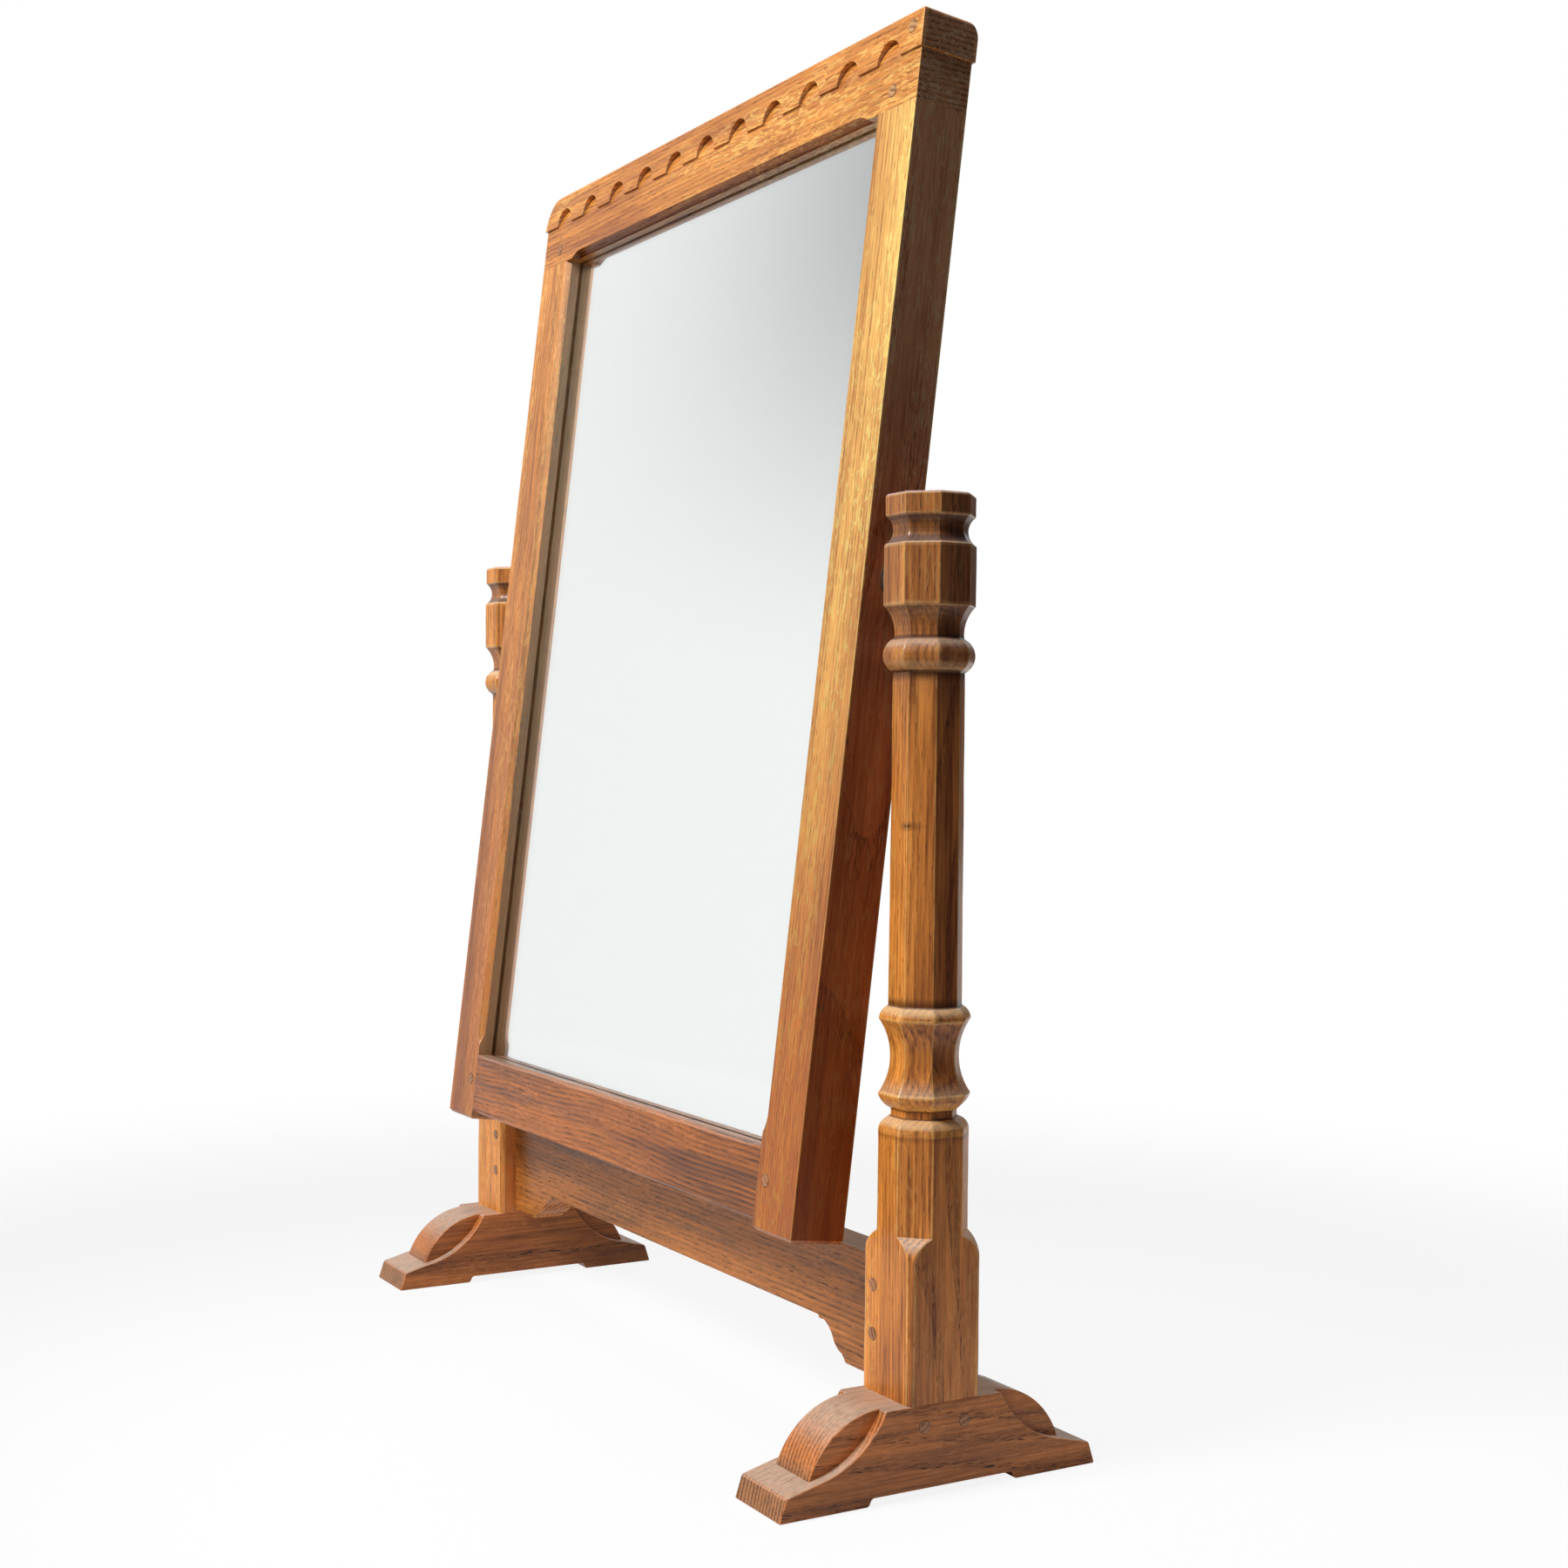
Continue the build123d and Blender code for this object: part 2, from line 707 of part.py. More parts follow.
def board_screw_places():
    inset = glass_rebate_half + board_rebate_width / 2
    low = -sight_below - rebate_width - board_rebate_width / 2
    high = sight_above + rebate_width + board_rebate_width / 2
    back = frame_back - board_rebate_depth + board_thickness
    places = []
    for side in (-1, 1):
        for index in range(board_screws_side):
            z = low + (high - low) * (index + 0.5) / board_screws_side
            places.append(Location((side * inset, back, z), (-90, 0, 0)))
    for z in (low, high):
        for index in range(board_screws_end):
            x = 2 * inset * ((index + 0.5) / board_screws_end - 0.5)
            places.append(Location((x, back, z), (-90, 0, 0)))
    return places


def make_backboard():
    half = board_rebate_half - board_clearance
    low = -sight_below - rebate_width - board_rebate_width + board_clearance
    high = sight_above + rebate_width + board_rebate_width - board_clearance
    front = frame_back - board_rebate_depth
    board = box_between((-half, front, low), (half, front + board_thickness, high))
    edges = board.faces().sort_by(Axis.Y)[-1].edges()
    board = chamfer(edges, board_bevel / 2)
    for place in board_screw_places():
        board -= place * screw(board_screw_length, metal_fit, False)
    return board


def board_screw_holes():
    holes = [place * screw(board_screw_length + tenon_end_clearance, metal_fit, False)
             for place in board_screw_places()]
    return Compound(holes)


def make_board_screws():
    return Compound([place * screw(board_screw_length) for place in board_screw_places()])


def tilted(shape):
    """Carry a mirror piece from its own frame to its place on the stand."""
    return Location((0, 0, pivot_height), (-rest_tilt, 0, 0)) * shape


def single(shape):
    """The one solid of a piece."""
    return shape.solids()[0]


stand = {}
foot = make_foot()
post = make_post()
for side, place in (("right", lambda shape: shape), ("left", flank)):
    stand[side + "_foot"] = place(foot)
    stand[side + "_post"] = place(post)
    stand[side + "_foot_pegs"] = place(make_foot_pegs())
    stand[side + "_post_pegs"] = place(make_post_pegs())
    stand[side + "_pivot_socket"] = place(make_socket())
    stand[side + "_socket_screws"] = place(make_socket_screws())
    stand[side + "_friction_washer"] = place(make_washer())
stand["stretcher"] = make_stretcher()

swing = {}
holes = board_screw_holes()
stile = make_stile()
for side, place in (("right", lambda shape: shape), ("left", flank)):
    swing[side + "_stile"] = place(stile) - holes
    swing[side + "_pivot_stud"] = place(make_stud())
    swing[side + "_stud_screws"] = place(make_stud_screws())
    swing[side + "_fillet"] = place(make_side_fillet())
    swing[side + "_bottom_peg"] = place(bottom_peg_place() * frame_peg())
swing["left_top_pegs"] = flank(top_peg_place() * frame_peg())
swing["right_top_pegs"] = Compound([top_peg_place() * frame_peg(), corner_peg_place() * frame_peg()])
swing["top_rail"] = make_top_rail() - holes
swing["bottom_rail"] = make_bottom_rail() - holes
swing["mirror_glass"] = make_glass()
swing["silver_backing"] = make_silver()
swing["top_fillet"] = make_top_fillet()
swing["bottom_fillet"] = make_bottom_fillet()
swing["backboard"] = make_backboard()
swing["backboard_screws"] = make_board_screws()

os.makedirs("parts", exist_ok=True)
nodes = dict(stand)
nodes.update({name: tilted(shape) for name, shape in swing.items()})
for name, shape in nodes.items():
    export_step(shape, "parts/" + name + ".step")
print(len(nodes), "nodes")
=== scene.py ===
from math import cos, pi, radians, sin

import bmesh
import bpy
import numpy as np
from bpy.props import FloatProperty, FloatVectorProperty, PointerProperty
from bpy.types import Operator, Panel, PropertyGroup
from mathutils import Matrix, Vector


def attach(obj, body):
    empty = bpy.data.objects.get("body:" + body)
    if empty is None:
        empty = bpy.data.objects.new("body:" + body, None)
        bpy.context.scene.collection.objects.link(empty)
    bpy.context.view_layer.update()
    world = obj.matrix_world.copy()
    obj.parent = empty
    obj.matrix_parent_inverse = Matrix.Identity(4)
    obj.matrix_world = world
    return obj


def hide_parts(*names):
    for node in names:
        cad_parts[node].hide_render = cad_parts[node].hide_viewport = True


bl_info = {
    "name": "Oak swing mirror",
    "version": (1, 0, 0),
    "blender": (4, 5, 0),
    "location": "View3D > Sidebar > Swing mirror",
    "description": "Builds the looks of an oak swing mirror around its packed frame",
    "category": "Object",
}

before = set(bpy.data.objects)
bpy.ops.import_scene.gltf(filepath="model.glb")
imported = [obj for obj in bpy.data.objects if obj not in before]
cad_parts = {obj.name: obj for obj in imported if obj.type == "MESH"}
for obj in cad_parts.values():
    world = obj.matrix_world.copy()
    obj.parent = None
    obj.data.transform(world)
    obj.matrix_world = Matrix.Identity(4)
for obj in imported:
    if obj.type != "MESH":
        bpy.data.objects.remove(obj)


ARRIS_ANGLE = radians(32)
BEVEL_ANGLE = radians(28)
SAME_PLANE = radians(0.6)
SAME_POINT = 1e-6

WORN_WAVES = (47.0, 131.0)
TOOL_WAVES = (61.0, 23.0)
OGEE_FLATNESS = 14
PEG_SIDES = 28
PEG_WAVER = 0.035

LIGHTS = (
    ("key_light", (0.1, -2.25, 2.4), 1.0, "key_power"),
    ("top_light", (0.1, 0.2, 2.9), 1.6, "top_power"),
    ("rim_light", (-0.9, 2.3, 2.0), 1.8, "rim_power"),
)
LIGHT_AIM = (0.0, 0.0, 0.4)


# Properties

def length(name, default, text):
    """A length in metres."""
    return FloatProperty(name=name, default=default, description=text, unit="LENGTH", precision=5)


def number(name, default, text):
    """A plain number."""
    return FloatProperty(name=name, default=default, description=text)


class PostSizes(PropertyGroup):
    """Heights and widths of the octagonal posts, from the foot up."""
    spacing: length("Spacing", 0.585, "Between the posts' axes")
    base: length("Base", 0.053, "Height of the feet that the posts stand on")
    block_size: length("Block size", 0.050, "Across the square block and the lower drum")
    block_chamfer: length("Block chamfer", 0.0024, "Chamfer on the square block's arrises")
    block_height: length("Block height", 0.0795, "Square up to where its arrises run out")
    stop_height: length("Stop height", 0.0153, "Height over which the arrises run out")
    stop_round: length("Stop round", 0.0026, "Bow of each stop")
    base_drum: length("Lower drum", 0.0572, "Height of the lower drum")
    shoulder: length("Shoulder height", 0.0098, "Height of the round shoulder")
    shoulder_round: length("Shoulder round", 0.0024, "Bow of the round shoulder")
    neck: length("Neck height", 0.0045, "Height of the neck")
    neck_size: length("Neck size", 0.0364, "Neck across the flats")
    flare: length("Flare height", 0.0087, "From the neck out to the vase")
    vase: length("Vase height", 0.0435, "Between the vase's arrises")
    vase_size: length("Vase size", 0.0510, "Vase across its arrises")
    vase_hollow: length("Vase hollow", 0.0065, "Bow of the vase's waist")
    bevel_round: length("Bevel round", 0.0012, "Bow of the bevels beside the vase")
    vase_top: length("Vase top", 0.0077, "From the vase in to the shaft")
    shaft: length("Shaft height", 0.1916, "Height of the tapered shaft")
    shaft_low: length("Shaft foot", 0.0406, "Shaft across its foot")
    shaft_high: length("Shaft head", 0.0394, "Shaft across its head")
    ring: length("Ring height", 0.0196, "Height of the half-round ring")
    ring_round: length("Ring round", 0.006, "Bow of the ring")
    taper: length("Taper height", 0.0185, "From the ring out to the upper drum")
    taper_size: length("Taper size", 0.0384, "Taper across its foot")
    taper_hollow: length("Taper hollow", 0.0022, "Bow of the taper")
    drum: length("Upper drum", 0.0345, "Height of the upper drum")
    drum_size: length("Upper drum size", 0.0504, "Upper drum across the flats")
    cove: length("Cove height", 0.0166, "Height of the cove")
    cove_hollow: length("Cove hollow", 0.0043, "Bow of the cove")
    cap: length("Cap height", 0.0124, "Height of the cap")
    cap_size: length("Cap size", 0.0494, "Cap across the flats")
    cap_edge: length("Cap edge", 0.0012, "Chamfer round the cap's top")
    sharpness: number("Sharpness", 95.0, "Exponent of the rounding of the arrises; higher is sharper")
    waver: length("Waver", 0.00018, "Unevenness left by the plane and the carving tools")
    knot_reach: length("Knot reach", 0.008, "Knot outside the right post's axis")
    knot_height: length("Knot height", 0.383, "Knot above the floor")
    handled_from: length("Handled from", 0.440, "Where the right post starts to darken from handling")
    handled_to: length("Handled to", 0.470, "Where that darkening is full")


class FootSizes(PropertyGroup):
    """Sledge foot."""
    width: length("Width", 0.050, "Across the cheeks")
    height: length("Height", 0.053, "Floor to the flat top")
    flat: length("Flat", 0.080, "Length of the flat top")
    cheek_run: length("Cheek run", 0.046, "Length of each sunk cheek")
    cheek_hollow: length("Cheek hollow", 0.007, "Bow of the cheek's hollow")
    toe_run: length("Toe run", 0.024, "From the cheek to the end of the foot")
    toe_height: length("Toe height", 0.0135, "Height of the toe's end")
    toe_rise: length("Toe rise", 0.005, "Climb of the toe's top")
    toe_rake: length("Toe rake", 0.0045, "Lean of the toe's end")
    web_width: length("Web width", 0.036, "Across the web")
    web_run: length("Web run", 0.0475, "Length of each scroll")
    web_foot: length("Web foot", 0.017, "Height of the scroll's lower end")
    web_round: length("Web round", 0.0095, "Bow of the scroll")
    recess_length: length("Recess length", 0.102, "Recess under the middle")
    recess_depth: length("Recess depth", 0.0045, "Depth of that recess")
    edge: length("Edge", 0.0009, "Worn radius of the arrises")


class StretcherSizes(PropertyGroup):
    """Bracketed stretcher."""
    thickness: length("Thickness", 0.025, "Front to back")
    height: length("Height", 0.050, "Height of the board")
    top: length("Top", 0.1275, "Height of its top above the floor")
    bracket_length: length("Bracket length", 0.069, "Along the board from the post")
    bracket_drop: length("Bracket drop", 0.0225, "Below the board's lower edge")
    bracket_flat: length("Bracket flat", 0.038, "Flat under the bracket")
    quirk: length("Quirk", 0.0016, "Small steps at the ogee's ends")
    edge: length("Edge", 0.0007, "Worn radius of the arrises")
    ogee_edge: length("Ogee chamfer", 0.0025, "Chamfer on the front arris of each ogee")
    ease: length("Ease", 0.0011, "Rounding of the outline's corners")


class FrameSizes(PropertyGroup):
    """The mirror's frame, in its own upright plane from the pivot's axis."""
    tilt: FloatProperty(name="Tilt", default=radians(6.7), subtype="ANGLE",
                        description="Lean of the mirror's top at rest")
    pivot: length("Pivot height", 0.5254, "Pivot's axis above the floor")
    front: length("Front", 0.026, "Front face ahead of the pivot's axis")
    back: length("Back", 0.010, "Back face behind it")
    half: length("Half width", 0.2623, "Middle of the frame to a stile's outer side")
    stile: length("Stile width", 0.0445, "Width of a stile")
    sight_above: length("Sight above", 0.280, "Sight opening above the pivot")
    sight_below: length("Sight below", 0.3403, "Sight opening below the pivot")
    top: length("Top", 0.334, "Top of the frame above the pivot")
    bottom: length("Bottom", 0.3904, "Stiles' ends below the pivot")
    edge: length("Edge", 0.0007, "Worn radius of the arrises")
    rebate: length("Rebate", 0.008, "Width of the glass rebate")
    glass: length("Glass face", -0.015, "Front of the glass behind the pivot's axis; below 0 it is ahead")
    glass_thickness: length("Glass thickness", 0.004, "Thickness of the plate")
    glass_clearance: length("Glass clearance", 0.001, "Between the plate and its rebate")
    silver: length("Silvering", 0.0002, "Thickness of the reflecting coat")
    air: length("Air", 0.00004, "Hair's breadth between the plate and its coat")
    plate_edge: length("Plate edge", 0.0006, "Ground edge of the plate")
    silver_edge: length("Coat edge", 0.00005, "Edge of the reflecting coat")


class PegSizes(PropertyGroup):
    """Heads of the joints' pegs."""
    radius: length("Radius", 0.0040, "Radius of a peg")
    crown: length("Crown", 0.0004, "How far a worn head stands proud")
    foot_length: length("Foot peg length", 0.038, "In the foot")
    post_length: length("Post peg length", 0.034, "In the post")
    frame_length: length("Frame peg length", 0.028, "In the mirror's frame")
    foot_rise: length("Foot peg height", 0.0405, "Foot pegs above the floor")
    foot_reach: length("Foot peg reach", 0.014, "Foot pegs ahead of and behind the post's axis")
    post_inset: length("Post peg inset", 0.0113, "Post pegs from the block's inner face")
    post_low: length("Lower post peg", 0.0865, "Lower post peg above the floor")
    post_high: length("Upper post peg", 0.1153, "Upper post peg above the floor")
    top_reach: length("Top peg reach", 0.0173, "Top rail's pegs outside the sight opening")
    top_rise: length("Top peg height", 0.011, "Top rail's pegs above the sight opening")
    low_reach: length("Lower peg reach", 0.009, "Bottom rail's pegs outside the sight opening")
    low_drop: length("Lower peg drop", 0.0197, "Bottom rail's pegs below the sight opening")
    corner_inset: length("Corner peg inset", 0.010, "Corner peg from the frame's side")
    corner_drop: length("Corner peg drop", 0.0095, "Corner peg from the frame's top")
    band_step: length("Band step", 0.0015, "How far the gouged band stands proud")


class StageLook(PropertyGroup):
    """Floor, lights and camera."""
    camera_place: FloatVectorProperty(name="Camera place", default=(1.3099, -0.7010, 0.4206), size=3,
                                      subtype="TRANSLATION", description="Where the camera stands")
    camera_yaw: FloatProperty(name="Camera yaw", default=1.0472, subtype="ANGLE",
                              description="Turn of the view to the left of the +Y direction")
    camera_pitch: FloatProperty(name="Camera pitch", default=-0.0426, subtype="ANGLE",
                                description="Tilt of the view above the horizon")
    camera_roll: FloatProperty(name="Camera roll", default=0.0088, subtype="ANGLE",
                               description="Roll of the camera")
    lens: number("Lens", 49.01, "Focal length in millimetres on a 36 mm sensor")
    shift: FloatVectorProperty(name="Shift", default=(0.0175, 0.0419), size=2,
                               description="Lens shift as parts of the picture's width")
    floor_half: length("Floor half size", 6.0, "Half the floor's side")
    key_power: FloatProperty(name="Key power", default=97.0, unit="POWER", description="Main light")
    rim_power: FloatProperty(name="Rim power", default=16.0, unit="POWER", description="Light from behind")
    top_power: FloatProperty(name="Top power", default=26.0, unit="POWER", description="Light from above")
    ambient: number("Ambient", 0.035, "Strength of the even light from all round")


# Shader sheets

class Value:
    """Wraps a shader socket, so that Python expressions build its maths."""

    def __init__(self, sheet, socket):
        self.sheet = sheet
        self.socket = socket

    def math(self, operation, *others):
        inputs = {index: item for index, item in enumerate((self,) + others)}
        return self.sheet.node("ShaderNodeMath", {"operation": operation}, inputs)

    def __add__(self, other):
        return self.math("ADD", other)

    def __sub__(self, other):
        return self.math("SUBTRACT", other)

    def __mul__(self, other):
        return self.math("MULTIPLY", other)

    def __neg__(self):
        return self.math("MULTIPLY", -1.0)

    def __abs__(self):
        return self.math("ABSOLUTE")

    def __rsub__(self, other):
        return self.sheet.node("ShaderNodeMath", {"operation": "SUBTRACT"}, {0: other, 1: self})

    __radd__ = __add__

    def step(self, low, high):
        """Smooth step from 0 at low to 1 at high."""
        settings = {"interpolation_type": "SMOOTHSTEP"}
        return self.sheet.node("ShaderNodeMapRange", settings, {0: self, 1: low, 2: high, 3: 0.0, 4: 1.0})


class Sheet:
    """A node tree: that of a new material, or one that is given."""

    def __init__(self, name=None, tree=None):
        if tree is None:
            self.material = bpy.data.materials.new(name)
            self.material.use_nodes = True
            tree = self.material.node_tree
            self.shader = next(n for n in tree.nodes if n.type == "BSDF_PRINCIPLED")
        self.tree = tree

    def node(self, kind, settings=None, inputs=None, out=0):
        """Add a node: its type, its settings, and then its sockets' values or links."""
        made = self.tree.nodes.new(kind)
        for name, setting in (settings or {}).items():
            setattr(made, name, setting)
        for key, item in (inputs or {}).items():
            self.feed(made.inputs[key], item)
        return Value(self, made.outputs[out])

    def feed(self, socket, item):
        if isinstance(item, Value):
            self.tree.links.new(item.socket, socket)
        elif isinstance(item, (tuple, list)) and len(socket.default_value) == 4 and len(item) == 3:
            socket.default_value = (*item, 1.0)
        else:
            socket.default_value = item

    def set(self, **items):
        """Set the main shader's sockets; an underscore stands for a space."""
        for key, item in items.items():
            self.feed(self.shader.inputs[key.replace("_", " ")], item)

    def place(self, tilt=0.0, pivot=0.0):
        """Object coordinates, turned back into the mirror's upright plane when it has a tilt."""
        source = self.node("ShaderNodeTexCoord", out=3)
        split = self.node("ShaderNodeSeparateXYZ", inputs={0: source})
        x, y, z = (Value(self, split.socket.node.outputs[i]) for i in range(3))
        if tilt:
            high = z - pivot
            y, z = y * cos(tilt) - high * sin(tilt), y * sin(tilt) + high * cos(tilt)
        return x, y, z

    def vector(self, x, y, z):
        return self.node("ShaderNodeCombineXYZ", inputs={0: x, 1: y, 2: z})

    def noise(self, vector, detail=2.0, roughness=0.5, distortion=0.0):
        inputs = {"Vector": vector, "Scale": 1.0, "Detail": detail, "Roughness": roughness,
                  "Distortion": distortion}
        return self.node("ShaderNodeTexNoise", inputs=inputs)

    def mix(self, factor, first, second, blend="MIX"):
        settings = {"data_type": "RGBA", "blend_type": blend, "clamp_factor": True}
        return self.node("ShaderNodeMix", settings, {0: factor, 6: first, 7: second}, out=2)

    def tint(self, factor, base, colour):
        """The base multiplied by a colour where the factor is 1."""
        return self.mix(factor, base, self.mix(1.0, base, colour, "MULTIPLY"))

    def bump(self, height, strength, distance):
        inputs = {"Height": height, "Strength": strength, "Distance": distance}
        return self.node("ShaderNodeBump", inputs=inputs)

    def attribute(self, name):
        return self.node("ShaderNodeAttribute", {"attribute_name": name}, out=2)


GRAIN = {"X": (0, 1, 2), "Y": (1, 0, 2), "Z": (2, 0, 1)}
END_GRAIN = {"X": "flank", "Y": "ahead", "Z": "up"}
PLAIN_FIGURE = (0.22, 0.016, 2.2)
WAVY_FIGURE = (0.38, 0.030, 3.6)
RING_COUNT = 300.0
# Pale dusty colour for upward faces: partly dust and rubbing, partly a painted sheen of the light from above.
DUST_AND_SHEEN = (0.66, 0.56, 0.45)
BARE_CHEEK = (0.60, 0.50, 0.36)


def shade(colour, factor, lift=0.0):
    """A colour multiplied and lifted, up to white."""
    return tuple(min(1.0, part * factor + lift) for part in colour)


def oak(name, grain, seed, light, dark, frame_sizes=None, worn=None, fleck=0.5, pores=0.6, gloss=0.42,
        shape=False, top_sheen_and_dust=0.0, slope=(0.55, 0.95), sides=None, ends=None, fade=None, knot=None,
        figure=PLAIN_FIGURE):
    """Waxed oak, with rings about a pith beside the piece, fibres and pores along the grain, and ray flecks.

    worn is 1 on a rubbed arris, from the mesh's own attribute or from a formula of the place. shape darkens
    the mesh's hollows. The pale dusty colour on the faces that look up more steeply than the slope is partly
    dust and rubbing and partly a painted sheen of the light from above. sides is painted shade that deepens the
    faces that look left or right, and ends deepens those on end grain. fade is a colour that deepens the wood,
    with the heights where it starts and ends: on the right post it is darkening from handling, and on the
    stiles it is painted shade low down, which leaves their upper parts looking lit by a sheen. figure is how
    strongly the rings show, how far they sway, and how many times in a metre. The other counts are also for a
    metre.
    """
    sheet = Sheet(name)
    if frame_sizes:
        spots = sheet.place(frame_sizes.tilt, frame_sizes.pivot)
    else:
        spots = sheet.place()
    along, across, deep = (spots[i] for i in GRAIN[grain])
    shift = 0.137 * seed
    low = sheet.noise(sheet.vector(across * 7.0 + shift, deep * 7.0, along * figure[2] + shift), detail=2.0)
    sway = (low - 0.5) * figure[1]
    pith = 0.045 + 0.02 * sin(seed * 2.3)
    rings_across = across + sway + pith * cos(seed)
    rings_deep = deep + sway * 0.7 + pith * 1.6 * sin(seed)
    reach = (rings_across * rings_across + rings_deep * rings_deep).math("SQRT")
    phase = (reach * RING_COUNT + low * 2.0).math("FRACT")
    late = phase.step(0.0, 0.8)
    early = 1.0 - phase.step(0.05, 0.40)
    fibre = sheet.noise(sheet.vector(across * 560.0, deep * 560.0, along * 22.0 + shift), detail=3.0)
    streak = sheet.noise(sheet.vector(across * 120.0 + shift, deep * 120.0, along * 5.5), detail=4.0,
                         roughness=0.62, distortion=0.25)
    band = sheet.noise(sheet.vector(across * 34.0, deep * 34.0 + shift, along * 2.6), detail=2.0)
    speck = sheet.noise(sheet.vector(across * 1250.0, deep * 1250.0, along * 130.0 + shift), detail=1.0)
    pore = speck.step(0.555, 0.64) * (early * 0.85 + 0.20)
    ray = sheet.noise(sheet.vector(across * 210.0 + low * 9.0, deep * 330.0, along * 62.0 + low * 14.0),
                      detail=2.0, distortion=1.6)
    flake = ray.step(0.51, 0.60) * band.step(0.35, 0.60) * fleck
    blotch = sheet.noise(sheet.vector(across * 13.0 + shift, deep * 13.0, along * 6.0), detail=3.0,
                         roughness=0.6)
    middle = 0.51 - figure[0] / 2
    tone = late * figure[0] + (fibre - 0.5) * 1.5 + (streak - 0.5) * 1.5
    tone = tone + (band - 0.5) * 1.3 + (blotch - 0.5) * 0.7 + middle
    end_face = sheet.attribute(END_GRAIN[grain])
    tone = tone + (late - 0.4) * 0.8 * end_face.step(0.35, 0.85)
    base = sheet.mix(tone, dark, light)
    base = sheet.mix(flake * 0.8, base, shade(light, 1.6, 0.06))
    base = sheet.mix(pore * pores, base, shade(dark, 0.16))
    stain = blotch.step(0.56, 0.80) * 0.35
    base = sheet.mix(stain, base, shade(dark, 0.5))
    if knot:
        x, z = spots[0] - knot[0], spots[2] - knot[2]
        wobble = (streak - 0.5) * 0.004
        around = ((x * x + z * z * 5.0).math("SQRT") + wobble) * 1000.0
        base = sheet.mix((1.0 - around.step(2.5, 9.0)) * 0.55, base, shade(dark, 0.7))
        base = sheet.mix((1.0 - around.step(0.8, 3.2)) * 0.9, base, shade(dark, 0.12))
    # Painted shade: the side colour deepens the faces that look left or right; on the frame it does so only on
    # the outer sides, while the inner sides take a bare wood colour.
    if sides:
        flank = sheet.attribute("flank").step(0.55, 0.95)
        if frame_sizes:
            outer = abs(spots[0]).step(frame_sizes.half - 0.02, frame_sizes.half - 0.01)
            base = sheet.mix(flank * (1.0 - outer) * 0.6, base, BARE_CHEEK)
            flank = flank * outer
        base = sheet.tint(flank, base, sides)
    if ends:
        base = sheet.tint(end_face.step(0.86, 0.97), base, ends)
    # Painted sheen with dust: faces that look up more steeply than the slope are paled, partly for dust and
    # rubbing and partly for the light from above.
    if top_sheen_and_dust:
        up = sheet.attribute("up").step(*slope)
        base = sheet.mix(up * (fibre * 0.9 + 0.25) * top_sheen_and_dust, base, DUST_AND_SHEEN)
    if worn is not None:
        rubbed = worn(sheet, spots)
        chip = sheet.noise(sheet.vector(*(s * 120.0 for s in spots)), detail=3.0, roughness=0.7)
        rub = (rubbed * (chip * 1.5 - 0.12)).step(0.20, 0.62)
        base = sheet.mix(rub * 0.38, base, shade(light, 1.3, 0.10))
    # A colour that deepens the wood between two heights: darkening from handling on the right post, and painted
    # shade low on the stiles, which leaves their upper parts looking lit by a sheen.
    if fade:
        deeper, start, end = fade
        near = spots[2].step(start, end) if start < end else 1.0 - spots[2].step(end, start)
        base = sheet.tint(near, base, deeper)
    if shape:
        murk = sheet.attribute("hollow")
        base = sheet.mix(murk * 0.75, base, shade(dark, 0.25))
    rough = gloss + (streak - 0.5) * 0.25 + pore * 0.2
    if worn is not None:
        rough = rough - rub * 0.14
    height = fibre * 0.4 - pore * 1.0 + streak * 0.5
    sheet.set(Base_Color=base, Roughness=rough, Normal=sheet.bump(height, 0.35, 0.0004), Coat_Weight=0.17,
              Coat_Roughness=0.18, Specular_IOR_Level=0.25)
    return sheet.material


def attribute_wear(sheet, spots):
    """Wear kept on the mesh."""
    return sheet.attribute("wear")


def frame_wear(sizes):
    """Wear on the frame's outer arrises and lower lip, from how near a point is to two of its faces."""
    def near(place, edge, start, end=0.0002):
        """From 0 at the first distance inside an edge to 1 at the second."""
        return place.step(edge - start, edge - end)

    def rule(sheet, spots):
        x, y, z = spots
        side = near(abs(x), sizes.half, 0.0022)
        front = near(-y, sizes.front, 0.0020)
        back = near(y, sizes.back, 0.0020)
        top = near(z, sizes.top, 0.0024, 0.0004)
        low = near(-z, sizes.bottom, 0.0026, 0.0006)
        ends = side.math("MAXIMUM", top).math("MAXIMUM", low)
        lip = near(-z, sizes.sight_below, 0.0006, 0.0)
        lip = lip * (1.0 - near(-z, sizes.sight_below, -0.0012, -0.0040)) * front
        ends = ends.math("MAXIMUM", lip * (1.0 - near(abs(x), sizes.half - sizes.stile, 0.0010)))
        corner = side * top.math("MAXIMUM", low)
        return (ends * front.math("MAXIMUM", back)).math("MAXIMUM", corner)
    return rule


def plain(name, base, roughness, metallic=0.0, scale=300.0, spread=0.15, depth=0.0002):
    """Small-grained material, such as metal or leather, mottled in colour, gloss and height."""
    sheet = Sheet(name)
    spots = sheet.place()
    grain = sheet.noise(sheet.vector(*(s * scale for s in spots)), detail=4.0)
    sheet.set(Base_Color=sheet.mix(grain, shade(base, 0.55), base), Metallic=metallic,
              Roughness=roughness + (grain - 0.5) * spread, Normal=sheet.bump(grain, 0.25, depth))
    return sheet.material


def glass_look():
    """Clear plate, green at its edges."""
    sheet = Sheet("clear_glass")
    tint = sheet.mix(sheet.attribute("wear"), (0.985, 0.996, 0.990), (0.30, 0.55, 0.40))
    sheet.set(Base_Color=tint, Roughness=0.0, IOR=1.5, Transmission_Weight=1.0)
    return sheet.material


